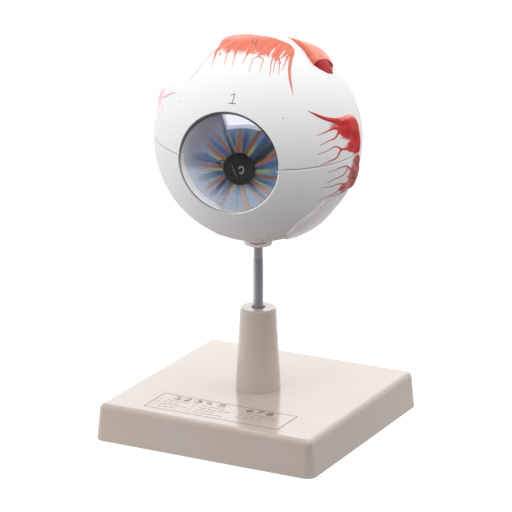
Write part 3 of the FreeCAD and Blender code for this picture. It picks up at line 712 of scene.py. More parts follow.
def fill_outline(outline, crest):
    """Places and triangles that fill an outline: staggered rows of them, and some along the crest."""
    step = STUMP_STEP
    low, high = np.min(outline, axis=0), np.max(outline, axis=0)
    grid = []
    for row in range(int((high[1] - low[1]) / (step * ROW_SHARE)) + 1):
        y = low[1] + row * step * ROW_SHARE
        grid += [(x, y) for x in np.arange(low[0] + (row % 2) * step / 2, high[0], step)]
    grid = np.array(grid)
    ring = outline + outline[:1]
    ridge = evenly(crest, step) if crest else []
    for line in (ring, ridge):
        grid = grid[distance_to(grid, line) > step * CLEARANCE]
    ridge = [spot for spot in ridge if distance_to(np.array([spot]), ring)[0] > TOUCHING]
    points = [Vector(spot) for spot in (*outline, *ridge, *grid)]
    count = len(outline)
    lines = [(i, i + 1) for i in range(count, count + len(ridge) - 1)]
    made, _, triangles, _, _, _ = delaunay_2d_cdt(points, lines, [list(range(count))], 1, 1e-5)
    return np.array([tuple(spot) for spot in made]), triangles


def smoothstep(share):
    """Goes from 0 to 1 with soft ends while share does."""
    share = np.clip(share, 0, 1)
    return share * share * (3 - 2 * share)


def stump_lift(places, edges, height, crest):
    """How far a stump stands out at each place: cut, sloping or rounded as its edges say."""
    lift = np.full(len(places), float(height))
    for foot, role, _ in edges:
        if role == "slant":
            to_foot, to_crest = distance_to(places, foot), distance_to(places, crest)
            cut = inside(places, foot + crest) | (to_foot < TOUCHING)
            slope = CUT_RISE + (height - CUT_RISE) * to_foot / (to_foot + to_crest + 1e-6)
            lift = np.where(cut & (to_crest > TOUCHING), slope, lift)
    for points, role, size in edges:
        if role in ("soft", "ragged"):
            slope = PAINT_RISE + (height - PAINT_RISE) * smoothstep(distance_to(places, points) / size)
            lift = np.minimum(lift, slope)
    for points, role, size in edges:
        if role in ("side", "end"):
            share = np.clip(distance_to(places, points) / size, 0, 1)
            rounding = min(size, height * 0.8) * (1 - np.sqrt(1 - (1 - share) ** 2))
            lift = np.minimum(lift, np.maximum(lift - rounding, EDGE_RISE))
    return lift


def stump(build, patch, edges, height, turn_uv=False, crest=(), highlight_line=()):
    """A raised muscle end. edges is a list of (points, role, size) that together close the outline:
    "side" is rounded over size, "end" is a cut face, "soft" slopes up over size, and "ragged" is a
    soft edge that keeps its teeth. An edge's last point is the next edge's first. A crest is the line
    where a slanting cut face meets the top; the "slant" edge is that face's foot. A painted highlight
    lies beside the given highlight line."""
    outline, roles = stump_outline(edges)
    places, triangles = fill_outline(outline, crest)
    lift = stump_lift(places, edges, height, crest)
    # painted highlight: negative fade beside the highlight line
    bare = -0.8 * np.clip(1 - distance_to(places, highlight_line) / HIGHLIGHT_REACH, 0, 1)
    uv = [(y, x) if turn_uv else (x, y) for x, y in places]
    count = len(outline)
    used = sorted(set(range(count)).union(*triangles))
    top = {i: build.vertex(patch.at(*places[i], lift[i]), uv[i], bare[i]) for i in used}
    cut_face = next((foot + crest for foot, role, _ in edges if role == "slant"), [])
    for triangle in triangles:
        middle = places[list(triangle)].mean(axis=0)
        build.face([top[i] for i in triangle], int(inside(middle[None], cut_face)[0]))
    # skirt down to the sphere
    skirt = [build.vertex(patch.at(*outline[i], -SKIRT_SINK), uv[i]) for i in range(count)]
    for i in range(count):
        after = (i + 1) % count
        build.face((top[i], skirt[i], skirt[after], top[after]), int(roles[i] in ("end", "slant")))


# ---------------------------------------------------------------- sclera

BEYOND = 80.0
# Eased edge of the front opening in each half: (past its radius, forward)
LIPS = {1: [(0, 54.9), (0.08, 55.1), (0.3, 55.22), (0.4, BEYOND)],
        -1: [(0, 54.2), (0.14, 54.55), (0.45, 54.8), (0.95, 54.9), (0.95, BEYOND)]}


def front_ledge(sign):
    """Half of the ring behind the cornea, which the iris rests on."""
    ring = [(LEDGE_INNER, LEDGE_BACK + 0.25), (LEDGE_INNER + 0.25, LEDGE_BACK), (RECESS_OUTER, LEDGE_BACK),
            (RECESS_OUTER, LEDGE_ROOT), (LEDGE_INNER, LEDGE_ROOT)]
    low, high = sorted((sign * 0.06, sign * BEYOND))
    half_space = block((-BEYOND, -BEYOND, low), (BEYOND, BEYOND, high))
    return combine(solid(lathe(ring, 240, "Y", True)), [("INTERSECT", half_space)])


def eased_dome(sign):
    """Half of the hollow ball, with eased edges along the seam."""
    inner = EYE_RADIUS - SCLERA_WALL
    # (below the outer face, above the seam)
    ease = [(0, 0.7), (0.04, 0.5), (0.16, 0.36), (0.4, 0.3), (1.9, 0.26), (2.0, 0.02)]
    outer_face = [p for p in arc(EYE_RADIUS, 0, 90, 60) if p[1] > 1.2]
    inner_face = [p for p in arc(inner, 0, 90, 40) if p[1] > 1.0]
    profile = [(0, EYE_RADIUS)] + outer_face[1:] + [(EYE_RADIUS - below, above) for below, above in ease]
    profile += [(inner + 0.2, 0.02), (inner, 0.25)] + inner_face[:0:-1] + [(0, inner)]
    return solid(lathe([(radius, sign * height) for radius, height in profile], 240))


def sclera_half(sign):
    """Half of the outer shell: the seam's edges are eased, so a fine groove shows where they meet."""
    opening = [(0, LEDGE_FRONT), (LEDGE_INNER, LEDGE_FRONT), (LIMBUS_RADIUS, LEDGE_FRONT)]
    opening += [(LIMBUS_RADIUS + past, forward) for past, forward in LIPS[sign]] + [(0, BEYOND)]
    clear_of_ledge = LEDGE_INNER + 0.002
    bore = [(0, 40), (clear_of_ledge, 40), (clear_of_ledge, 60), (0, 60)]
    tools = [("UNION", front_ledge(sign)),
             ("DIFFERENCE", solid(lathe(opening, 240, "Y"))),
             ("DIFFERENCE", solid(lathe(bore, 240, "Y"))),
             ("DIFFERENCE", rod_shape(NERVE_HOLE_RADIUS, 50, 75, along(direction(NERVE_LONGITUDE, 0))))]
    for longitude in PEG_LONGITUDES:
        foot = direction(longitude, 0) * (EYE_RADIUS - SCLERA_WALL / 2) - Vector((0, 0, PEG_SINK))
        hole = rod_shape(PEG_HOLE_RADIUS, 0, PEG_HOLE_DEPTH, along((0, 0, 1), foot), 32)
        tools.append(("DIFFERENCE", hole))
    if sign < 0:
        face = EYE_RADIUS + BOSS_DROP
        boss = [(0, BOSS_ROOT), (BOSS_RADIUS, BOSS_ROOT), (BOSS_RADIUS, face - 0.5),
                (BOSS_RADIUS - 0.15, face - 0.15), (BOSS_RADIUS - 0.5, face), (0, face)]
        tools.append(("UNION", solid(lathe(boss, 128), along(DOWN))))
        tools.append(("DIFFERENCE", rod_shape(INSERT_RADIUS + 0.05, 55, 75, along(DOWN))))
    return combine(eased_dome(sign), tools)


for side, sign, body in (("upper", 1, "upper_shell"), ("lower", -1, "eyeball")):
    shell = sclera_half(sign)
    shell.transform(IN_EYE)
    finish_piece(side + "_shell_moulding", shell, body, [WHITE], ["sclera_" + side], 32.0)


# ---------------------------------------------------------------- muscle stumps

TOP = Patch(0, 90)
TEMPLE = Patch(80, 0)
NOSE = Patch(-80, 0, mirror=True)
TOP_TEMPLE = Patch(90, 60)
LOW_TEMPLE = Patch(64, -45)
BELOW = Patch(0, -90)


def finish_muscle(build, node, body, materials):
    """The muscle's piece, named after the CAD node that it stands for."""
    build.finish(node + "_paint", body, "muscle_paint", materials, [node])


# (points, rise, fade, kind)
SUPERIOR_TAILS = [
    ([(22.0, -9.5, 2.2), (22.4, -14, 2.4), (23.9, -20.5, 2.0), (25.4, -25.8, 1.8), (27.5, -30.2, 1.5),
      (29.7, -33.6, 1.0), (31.8, -36.6, 0.12)], 0.55, (0, 0.15), 0),
    ([(-23.1, -15, 1.8), (-23.0, -19, 2.1), (-22.3, -23, 1.5), (-21.6, -27, 0.8), (-20.5, -33.7, 0.15)],
     0.4, (0, 0.6), 0),
    ([(-24.6, -18.0, 1.0), (-25.9, -20.6, 0.8), (-27.4, -25.4, 0.5), (-28.8, -29.6, 0.42)],
     0.16, (0.3, 1.0), 0),
    ([(-28.8, -29.6, 0.42), (-31.0, -33.1, 0.4), (-33.6, -35.3, 0.14)], 0.16, (0.0, 1.0), 1),
]
SUPERIOR_VEINS = [
    [(-15.2, -20.5), (-14.3, -25.1), (-13.4, -30.3), (-12.8, -34.2)],
    [(-9.4, -21.5), (-8.8, -26.4), (-8.0, -30.7), (-7.4, -34.6)],
    [(-1.8, -21.6), (-1.7, -25.9), (-2.0, -29.0), (-1.4, -32.9)],
    [(5.2, -22.0), (5.1, -24.7), (4.0, -26.2), (3.0, -28.0), (3.4, -32.1), (3.8, -37.1)],
    [(5.1, -24.7), (7.0, -25.2), (9.0, -26.0), (9.4, -30.2), (10.0, -35.6)],
    [(13.3, -21.0), (14.0, -25.9), (15.1, -30.3), (16.4, -35.2)],
    [(15.4, -20.4), (15.9, -24.0), (16.5, -28.2), (17.5, -32.3)],
    [(17.0, -20.2), (17.7, -22.8), (19.4, -27.1), (20.9, -32.2)],
    [(20.2, -15.4), (21.1, -20.3), (21.4, -25.0), (21.3, -28.7)],
    [(20.2, -12.5), (20.9, -15.6), (21.3, -20.9), (21.4, -24.2)],
]


def build_superior_rectus():
    """Orange-red stump on top, with a ragged front, veins and two long tails that run forward."""
    build = Build()
    fringe = [(21.6, -13.6), (19.4, -15.6), (17.8, -19.8), (15.6, -21.6), (9.7, -22.6), (4.5, -22.4),
              (-0.1, -23.2), (-5.2, -21.8), (-9.4, -22.2), (-15.4, -21.0), (-21.3, -18.6)]
    teeth = ragged(fringe, (0.05, -1), 0.95, ((0.2, 2.6), (0.1, 3.0)), 4)
    # a few long scratches reach far into the paint
    scratches = ((-20.6, -14.4), (-3.1, -17.8), (1.9, -18.0), (11.3, -10.6), (17.4, -9.0), (19.9, -11.2))
    for across, top in scratches:
        nearest = min(range(1, len(teeth) - 1), key=lambda i: abs(teeth[i][0] - across) + (i % 2) * 9)
        teeth[nearest] = np.array((across, top))
    edges = [
        ([(-22.9, -19.5), (-23.9, -12), (-24.8, -4), (-24.6, 1.2)], "side", 0.9),
        ([(-24.6, 1.2), (-23.2, 2.8), (-17, 2.2), (-10, 0.9), (0, -0.6), (9, -1.0), (16.4, -1.5)],
         "side", 0.7),
        ([(16.4, -1.5), (19.4, -2.8), (21.4, -5.2), (22.6, -9.0), (23.0, -13.2)], "side", 0.9),
        ([(23.0, -13.2), (21.6, -13.6)], "soft", 3.0),
        (teeth, "ragged", 9.0),
        ([tuple(teeth[-1]), (-22.9, -19.5)], "soft", 3.0),
    ]
    stump(build, TOP, edges, 1.08)
    for points, rise, fade, kind in SUPERIOR_TAILS:
        stroke(build, TOP, points, rise=rise, fade=fade, kind=kind)
    draw_veins(build, TOP, SUPERIOR_VEINS, (1.3, 0.35), (0.0, 0.45))
    draw = random.Random(12)
    for _ in range(46):
        across = draw.uniform(-20, 20)
        start = -20.5 - draw.uniform(0, 2.5)
        length = draw.uniform(1.2, 4.6)
        width = draw.uniform(0.35, 0.75)
        lean = draw.uniform(-0.4, 0.5)
        hair(build, TOP, (across, start), (across + lean * 0.5, start - length * 0.6),
             (across + lean, start - length), width, (0.05, 0.5))
    finish_muscle(build, "superior_rectus", "upper_shell", [LIT_MUSCLE_ENAMEL, FAINT_PRINT])
    return build


def build_superior_oblique():
    """Raised wedge above the temple, with a slanting dark red cut end."""
    build = Build()
    edges = [
        ([(19.6, 24.6), (10.4, 17.8), (4.3, 12.1), (0.4, 7.1), (-3.6, 3.1), (-6.5, -0.8), (-7.9, -3.6)],
         "side", 1.6),
        ([(-7.9, -3.6), (-6.6, -7.8), (-4.3, -11.2), (-2.7, -13.2), (2.5, -15.2), (7.0, -12.4)],
         "slant", 0.35),
        ([(7.0, -12.4), (9.5, -10.0), (14, -7), (19, -1), (21, 6), (21, 14), (20.4, 24.2)], "side", 2.2),
        ([(20.4, 24.2), (19.6, 24.6)], "soft", 26.0),
    ]
    crest = [(7.0, -12.4), (5.6, -6.6), (2.2, -5.6), (-3.2, -4.0), (-7.9, -3.6)]
    stump(build, TOP_TEMPLE, edges, 3.0, crest=crest)
    finish_muscle(build, "superior_oblique", "upper_shell", [LIT_MUSCLE_ENAMEL, CUT_RED])


LATERAL_VEINS_UPPER = [
    [(-7.0, 19.4), (-12.2, 20.3), (-15.7, 20.7), (-18.7, 20.4), (-21.6, 19.9), (-24.7, 19.4), (-28.5, 18.9)],
    [(-8.9, 18.2), (-11.9, 17.5), (-13.8, 16.3), (-15.7, 15.2), (-19.2, 14.8), (-23.1, 14.0), (-28.1, 12.5)],
    [(-12.2, 20.3), (-11.8, 18.7), (-11.9, 17.5)],
    [(3.5, 2.9), (-0.4, 4.2), (-5.4, 6.4), (-9.8, 7.4), (-12.4, 8.4), (-14.8, 10.0), (-17.7, 10.3),
     (-20.6, 9.6), (-23.8, 8.7), (-29.5, 7.9)],
    [(-10.6, 7.7), (-12.6, 6.3), (-14.2, 4.5), (-15.8, 3.2), (-19.8, 2.6), (-23.0, 2.0), (-27.8, 1.1)],
]
LATERAL_VEINS_LOWER = [
    [(6.1, -9.8), (2.1, -8.3), (-2.5, -5.4), (-6.1, -4.1), (-11.9, -3.8), (-16.3, -4.2), (-21.9, -4.4)],
    [(-2.9, -5.5), (-4.4, -7.4), (-6.2, -9.3), (-8.9, -9.9), (-13.0, -10.1), (-17.1, -10.6), (-21.4, -11.3)],
    [(8.0, -19.0), (4.0, -18.1), (-2.7, -16.6), (-8.3, -14.9), (-12.6, -14.6), (-16.2, -14.9),
     (-24.5, -14.3)],
    [(-0.6, -17.2), (-4.3, -16.6), (-5.8, -18.1), (-7.0, -19.9), (-11.5, -20.7), (-15.5, -21.4),
     (-22.3, -23.0)],
    [(4.0, -22.6), (-1.7, -22.7), (-8.3, -22.5), (-14.8, -22.5)],
]


def build_lateral_upper(node, patch, material):
    """The part of the temple's stump above the seam, also used for the nose's side."""
    build = Build(patch is NOSE)
    front = [(4.2, 0.75), (2.6, 3.0), (-1.2, 4.4), (-4.6, 7.2), (-4.1, 9.6), (0.3, 10.4), (-5.1, 12.8),
             (-8.6, 14.7), (-10.6, 16.6), (-11.8, 18.9), (-9.8, 20.4), (-12.4, 22.4), (-14.9, 23.9)]
    teeth = ragged(front, (-1, 0.05), 0.75, ((0.2, 5.2), (0.1, 2.8)), 7)
    edges = [
        ([(-15.6, 25.7), (-10.5, 25.9), (-4.4, 25.4), (2.6, 25.2)], "side", 2.2),
        ([(2.6, 25.2), (6.8, 23.6), (9.4, 20.6), (10.3, 17.0), (10.5, 10.7), (10.7, 5.6), (10.8, 0.75)],
         "side", 2.0),
        ([(10.8, 0.75), (4.2, 0.75)], "end", 0.2),
        (teeth, "ragged", 7.0),
        ([tuple(teeth[-1]), (-15.6, 25.7)], "soft", 3.0),
    ]
    # painted highlight along the stump's top edge, where light from above falls
    stump(build, patch, edges, 2.2, turn_uv=True, highlight_line=[(-11, 24.9), (-4.4, 24.4), (2.4, 24.2), (6.6, 22.4)])
    stroke(build, patch, [(-6, 24.0, 3.0), (-11, 24.6, 3.0), (-16.2, 26.0, 2.6), (-20.6, 27.9, 2.0),
                          (-24, 30.0, 1.5), (-28.2, 32.8, 0.12)], rise=0.7, fade=(0, 0.25), turn_uv=True)
    draw_veins(build, patch, LATERAL_VEINS_UPPER, (2.1, 0.4), (0.0, 0.4), turn_uv=True)
    draw = random.Random(3)
    for _ in range(30):
        across, up = draw.uniform(-17, -11), draw.uniform(20.6, 24.4)
        length, width = draw.uniform(0.8, 3.0), draw.uniform(0.25, 0.6)
        middle = (across - length * 0.5, up + draw.uniform(-0.3, 0.3))
        end = (across - length, up + draw.uniform(-0.5, 0.5))
        hair(build, patch, (across, up), middle, end, width, (0.1, 0.8), turn_uv=True)
    finish_muscle(build, node, "upper_shell", [material])


def build_lateral_lower(node, patch, material):
    """The part below the seam."""
    build = Build(patch is NOSE)
    front = [(3.0, -22.6), (-3.4, -21.2), (-6.6, -18.9), (-5.4, -15.9), (-0.1, -16.2), (3.4, -16.2),
             (1.6, -13.9), (0.6, -11.5), (1.2, -9.7), (0.6, -7.4), (4.6, -6.2), (2.8, -3.4), (5.4, -0.75)]
    teeth = ragged(front, (-1, 0.05), 0.75, ((0.2, 4.2), (0.1, 2.2)), 9)
    edges = [
        ([(5.4, -0.75), (10.8, -0.75)], "end", 0.2),
        ([(10.8, -0.75), (11.6, -5.0), (12.4, -9.0), (13.0, -14), (12.9, -17), (11.2, -20.2), (8.0, -22.2)],
         "side", 1.6),
        ([(8.0, -22.2), (3.0, -22.6)], "side", 1.0),
        (teeth, "ragged", 6.0),
    ]
    stump(build, patch, edges, 2.2, turn_uv=True)
    draw_veins(build, patch, LATERAL_VEINS_LOWER, (2.0, 0.4), (0.0, 0.4), turn_uv=True)
    finish_muscle(build, node, "eyeball", [material])


def build_inferior_rectus():
    """Stump underneath, which keeps clear of the boss."""
    build = Build()
    fringe = [(-19, 22.6), (-11, 20.6), (0, 16.4), (11, 11.6), (17, 8.0)]
    teeth = ragged(fringe, (0, 1), 0.9, ((0.2, 1.6), (0.1, 2.4)), 21)
    edges = [
        (teeth, "ragged", 8.0),
        ([tuple(teeth[-1]), (17, 2.4)], "side", 0.9),
        ([(17, 2.4), (9.9, 2.4), (8.6, 6.4), (4.4, 9.0), (-2.6, 8.4), (-7.4, 4.8), (-8.9, 2.4), (-17, 2.4)],
         "end", 0.6),
        ([(-17, 2.4), (-20, 9), tuple(teeth[0])], "side", 0.9),
    ]
    stump(build, BELOW, edges, 1.6)
    veins = [[(8.5, 12.5), (12.6, 18.1), (14.5, 24.9), (14.3, 30.6), (12.9, 33.9)],
             [(13.5, 10.5), (17.5, 19.0), (19.5, 26.9), (19.7, 34.3)],
             [(-12, 20), (-14, 25), (-16, 28)], [(-5, 18), (-6, 20), (-7, 23)]]
    draw_veins(build, BELOW, veins, (1.1, 0.3), (0.0, 0.7))
    finish_muscle(build, "inferior_rectus", "eyeball", [MAROON, CUT_RED])


def build_inferior_oblique():
    """Raised white band, lower right, with a bright line along its edge."""
    build = Build()
    edges = [
        ([(-4, 22.5), (-8.3, 16.7), (-11.4, 12.7), (-13.2, 8.4), (-13.6, 3.7), (-13.2, -3.6)], "side", 0.9),
        ([(-13.2, -3.6), (-10.9, -8.8), (-7.5, -14.8)], "slant", 0.4),
        ([(-7.5, -14.8), (4, -16), (14, -6), (19, 8), (16, 20)], "side", 1.6),
        ([(16, 20), (-4, 22.5)], "soft", 30.0),
    ]
    crest = [(-7.5, -14.8), (-7.2, -12.2), (-10.4, -6.4), (-13.2, -3.6)]
    stump(build, LOW_TEMPLE, edges, 1.5, crest=crest)
    ridge = [(-0.5, 24.6, 0.2), (-4, 21.9, 0.7), (-8.0, 16.4, 1.1), (-11.1, 12.6, 1.2), (-12.9, 8.4, 1.2),
             (-13.3, 3.7, 1.2), (-12.9, -3.8, 1.0), (-11.6, -6.6, 0.4)]
    stroke(build, LOW_TEMPLE, ridge, rise=1.9, sink=0.1, fade=(0, 0))
    build.finish("inferior_oblique_relief", "eyeball", "sclera_plastic", [WHITE, CUT_GREY],
                 ["inferior_oblique"])


class Collar:
    """Millimetres round the boss: the angle from a middle, then the height towards the eyeball."""

    def __init__(self, radius, middle):
        self.radius = radius
        self.middle = middle
        self.front = (FORWARD - DOWN * FORWARD.dot(DOWN)).normalized()
        self.side = self.front.cross(DOWN)

    def at(self, across, up, lift=0.0):
        turn = across / self.radius + self.middle
        around = self.front * math.cos(turn) + self.side * math.sin(turn)
        return around * (self.radius + lift) + DOWN * (EYE_RADIUS + BOSS_DROP - up)


def build_boss_paint():
    """The muscle paint that ran on to the boss."""
    collar = Collar(BOSS_RADIUS, math.radians(18.6))
    build = Build()
    drip = [(-6.6, 3.1, 0.15), (-4.6, 2.7, 0.8), (-1.5, 2.45, 1.1), (2.2, 2.6, 0.9), (5.2, 2.9, 0.5),
            (6.4, 3.4, 0.15)]
    stroke(build, collar, drip, fade=(0.0, 0.2), rise=0.06)
    build.finish("boss_paint", "eyeball", "muscle_paint", [MAROON])


superior_rectus = build_superior_rectus()
build_superior_oblique()
for muscle, side, upper_paint, lower_paint in (("lateral_rectus", TEMPLE, RED, MAROON),
                                               ("medial_rectus", NOSE, LIGHT_WASHED_MUSCLE_ENAMEL, LIGHT_WASHED_MUSCLE_ENAMEL)):
    build_lateral_upper(muscle + "_upper", side, upper_paint)
    build_lateral_lower(muscle + "_lower", side, lower_paint)
build_inferior_rectus()
build_inferior_oblique()
build_boss_paint()

# ---------------------------------------------------------------- iris, pupil and cornea

NAVY, BLUE, SKY, TEAL = srgb(32, 64, 122), srgb(42, 100, 156), srgb(132, 178, 214), srgb(18, 92, 118)
ORANGE, RUST, PEACH = srgb(190, 106, 30), srgb(160, 92, 32), srgb(202, 150, 98)
YELLOW, LIME, SOOT = srgb(222, 204, 96), srgb(190, 204, 90), srgb(16, 16, 20)
CORNFLOWER = srgb(66, 108, 186)
# the mauve is a painted reflection of the room on the iris's upper nose side
SLATE, LILAC, PAINTED_REFLECTION_MAUVE = srgb(66, 76, 100), srgb(136, 154, 190), srgb(208, 198, 214)

# Brush strokes: (angle at the pupil, angle outside, inner and outer radius, width inside, width outside,
# colour, strength). Angles in degrees from the temple side, upwards; lengths in millimetres.
STROKES = [
    (165, 175, 11, 31, 5.0, 7.0, CORNFLOWER, 0.85), (140, 141, 9, 30, 4.0, 4.5, CORNFLOWER, 0.9),
    (123, 126, 12, 24, 2.6, 5.0, SKY, 0.8), (109, 104, 9, 22, 2.6, 4.4, BLUE, 0.9),
    (108, 108, 9, 17, 1.6, 1.4, TEAL, 0.8), (84, 80, 9, 24, 2.8, 4.6, NAVY, 0.85),
    (76, 76, 9, 20, 1.6, 2.2, BLUE, 0.8), (49, 53, 9, 30, 3.4, 5.4, NAVY, 0.85),
    (38, 47, 10, 26, 2.0, 3.0, SOOT, 0.9), (12, 20, 9, 32, 3.0, 6.0, BLUE, 0.85),
    (9, 14, 9, 18, 1.6, 2.0, TEAL, 0.85), (352, 356, 9, 22, 1.4, 2.6, SKY, 0.6),
    (334, 345, 9, 33, 2.6, 6.4, BLUE, 0.85), (331, 340, 9, 18, 1.2, 2.0, TEAL, 0.8),
    (310, 322, 9, 34, 2.0, 3.6, SOOT, 0.7), (305, 314, 12, 30, 2.0, 3.4, NAVY, 0.6),
    (289, 302, 9, 30, 2.6, 6.4, SKY, 0.9), (285, 290, 10, 30, 1.0, 2.6, BLUE, 0.55),
    (261, 267, 9, 32, 2.8, 6.0, SKY, 0.8), (266, 270, 10, 26, 1.2, 1.8, TEAL, 0.5),
    (241, 239, 9, 24, 2.4, 3.2, BLUE, 0.85), (250, 244, 12, 30, 1.4, 3.0, SKY, 0.6),
    (227, 228, 10, 27, 2.2, 3.4, BLUE, 0.8), (208, 208, 12, 26, 1.4, 2.6, SKY, 0.6),
    (199, 202, 9, 28, 4.2, 4.6, BLUE, 0.9), (197, 200, 9, 20, 2.4, 1.8, TEAL, 0.75),
    (191, 188, 10, 24, 1.8, 2.6, YELLOW, 0.75),
    (106, 111, 9, 23, 0.9, 1.2, YELLOW, 0.75), (88, 86, 9, 17, 1.4, 0.9, LIME, 0.7),
    (101, 98, 9, 20, 1.0, 0.7, YELLOW, 0.6), (62, 60, 8, 19, 2.2, 3.2, LIME, 0.9),
    (0, 5, 9, 20, 2.0, 3.2, LIME, 0.9), (329, 337, 9, 22, 1.8, 2.2, LIME, 0.8),
    (251, 253, 9, 18, 2.2, 2.2, YELLOW, 0.9), (163, 160, 10, 22, 2.4, 2.2, YELLOW, 0.85),
    (293, 303, 9, 20, 1.0, 1.2, YELLOW, 0.6), (147, 149, 9, 20, 1.0, 1.0, LIME, 0.6),
    (216, 222, 10, 20, 1.0, 1.0, YELLOW, 0.5), (176, 180, 12, 24, 0.8, 1.2, SKY, 0.6),
    (96, 91, 8, 25, 2.9, 3.4, ORANGE, 1.0), (71, 64, 8, 30, 2.6, 3.8, RUST, 1.0),
    (21, 34, 8, 31, 3.2, 3.8, ORANGE, 1.0), (346, 361, 8, 33, 2.6, 3.0, RUST, 0.95),
    (322, 331, 8, 30, 2.2, 3.8, ORANGE, 0.95), (297, 315, 9, 26, 1.4, 2.6, PEACH, 0.9),
    (278, 287, 9, 29, 2.4, 4.2, PEACH, 0.95), (246, 247, 9, 27, 2.4, 2.4, RUST, 0.95),
    (213, 219, 9, 28, 2.8, 2.8, ORANGE, 0.95), (183, 181, 9, 27, 2.8, 3.2, ORANGE, 0.85),
    (154, 148, 9, 28, 2.8, 3.0, ORANGE, 0.95), (123, 133, 9, 28, 2.4, 3.0, ORANGE, 0.9),
    (30, 44, 8, 31, 3.2, 4.8, SOOT, 1.0), (220, 232, 9, 23, 2.2, 3.4, SOOT, 0.9),
    (117, 116, 8, 24, 1.6, 2.6, SOOT, 0.95), (116, 111, 22, 36, 2.2, 0.7, SOOT, 0.9),
    (174, 175, 11, 30, 1.5, 1.0, SOOT, 0.85), (85, 80, 20, 25, 0.6, 1.0, SOOT, 0.8),
]
# painted reflection: a dark loop on the iris, left of the pupil
REFLECTION_LOOP_CENTRE, REFLECTION_LOOP_RADIUS = (-10.8, 1.5), 2.0
STROKES_CENTRE = (4.2, -5.6)


def limit(values):
    """The values, held between 0 and 1."""
    return np.clip(values, 0, 1)


def turn_between(angle, middle):
    """How far an angle lies from another, the short way round, in radians."""
    return np.abs((angle - middle + np.pi) % math.tau - np.pi)


def lay(colour, cover, pigment):
    """Lays paint over a colour as far as cover says, from 0 to 1."""
    cover = cover[:, None]
    return colour * (1 - cover) + np.array(pigment) * cover


def stroke_strength(radius, angle, item, wobble):
    """How much of a brush stroke lies at a place, from 0 to 1, with soft and uneven edges."""
    start, end, first, last, thin, wide, _, strength = item
    share = limit((radius - first) / (last - first))
    gap = turn_between(angle, np.radians(start + (end - start) * share)) * radius
    half = (thin + (wide - thin) * share) / 2 * (1 + 0.1 * wobble)
    soft = 0.38 + 0.12 * share * wide
    edge = smoothstep((half + soft * 0.5 - gap) / (2 * soft))
    ends = limit(radius - first) * limit((last + 1.5 - radius) / 6.0)
    return edge * ends * strength


def waves(values, seed, count=9, lowest=2, highest=23):
    """A smooth random line over angles, the same each run."""
    draw = random.Random(seed)
    total = np.zeros_like(values)
    for _ in range(count):
        wave = draw.randint(lowest, highest) * values + draw.uniform(0, math.tau)
        total += math.sqrt(2 / count) * np.sin(wave)
    return total


def ground_paint(radius, angle, painted_light_side):
    """The blue under the strokes: paler towards the rim, with lilac clouds, and painted light that makes the
    nose's side paler still.
    """
    colour = lay(np.array(srgb(46, 114, 162)), limit((radius - 9) / 22), srgb(122, 162, 198))
    colour = lay(colour, 0.25 * (0.5 + 0.5 * np.clip(waves(angle, 5), -1, 1)), LILAC)
    return lay(colour, limit((radius - 11) / 14) * 0.9 * painted_light_side, srgb(178, 208, 248))


def glazes(colour, radius, angle, painted_light_side):
    """Towards the rim: painted light, paler lavender on the nose's side where the rim shades the disc, and
    above it a mauve painted reflection of the room.
    """
    colour = lay(colour, limit((radius - 14) / 18) * (0.06 + 0.5 * painted_light_side), srgb(218, 228, 246))
    above = limit(1 - turn_between(angle, math.radians(138)) / math.radians(38))
    return lay(colour, limit((radius - 21) / 9) * limit(above * 1.6) * 0.75, PAINTED_REFLECTION_MAUVE)


def bare_margin(colour, across, up):
    """A bare margin with a fine dark line, low on the nose's side of the disc."""
    edge = PLUG_RADIUS - np.hypot(across, up)
    turn = np.degrees(np.arctan2(up, across)) % 360
    margin = 1.5 * limit((turn - 172) / 28) * limit((268 - turn) / 22)
    colour = lay(colour, limit((margin + 0.35 - edge) / 0.2) * (margin > 0.2) * 0.6, SLATE)
    return lay(colour, limit((margin - edge) / 0.2), srgb(250, 249, 252))


def iris_colours(across, up):
    """Paint colour at places on the iris, in millimetres from the strokes' centre."""
    radius, angle = np.hypot(across, up), np.arctan2(up, across)
    # painted light: weight of the nose's side, where the rim shades the disc
    painted_light_side = 0.5 - 0.5 * np.cos(angle - math.radians(30))
    colour = ground_paint(radius, angle, painted_light_side)
    for index, item in enumerate(STROKES):
        wobble = np.clip(waves(radius * 0.2 + angle, 100 + index, 6, 2, 12), -1.2, 1.2)
        colour = lay(colour, stroke_strength(radius, angle, item, wobble), item[6])
    # painted reflection: the dark loop beside the pupil
    ring = np.abs(np.hypot(across - REFLECTION_LOOP_CENTRE[0], up - REFLECTION_LOOP_CENTRE[1]) - REFLECTION_LOOP_RADIUS)
    colour = lay(colour, limit((0.6 - ring) / 0.45), SOOT)
    colour = glazes(colour, radius, angle, painted_light_side)
    return bare_margin(colour, across + STROKES_CENTRE[0], up + STROKES_CENTRE[1])


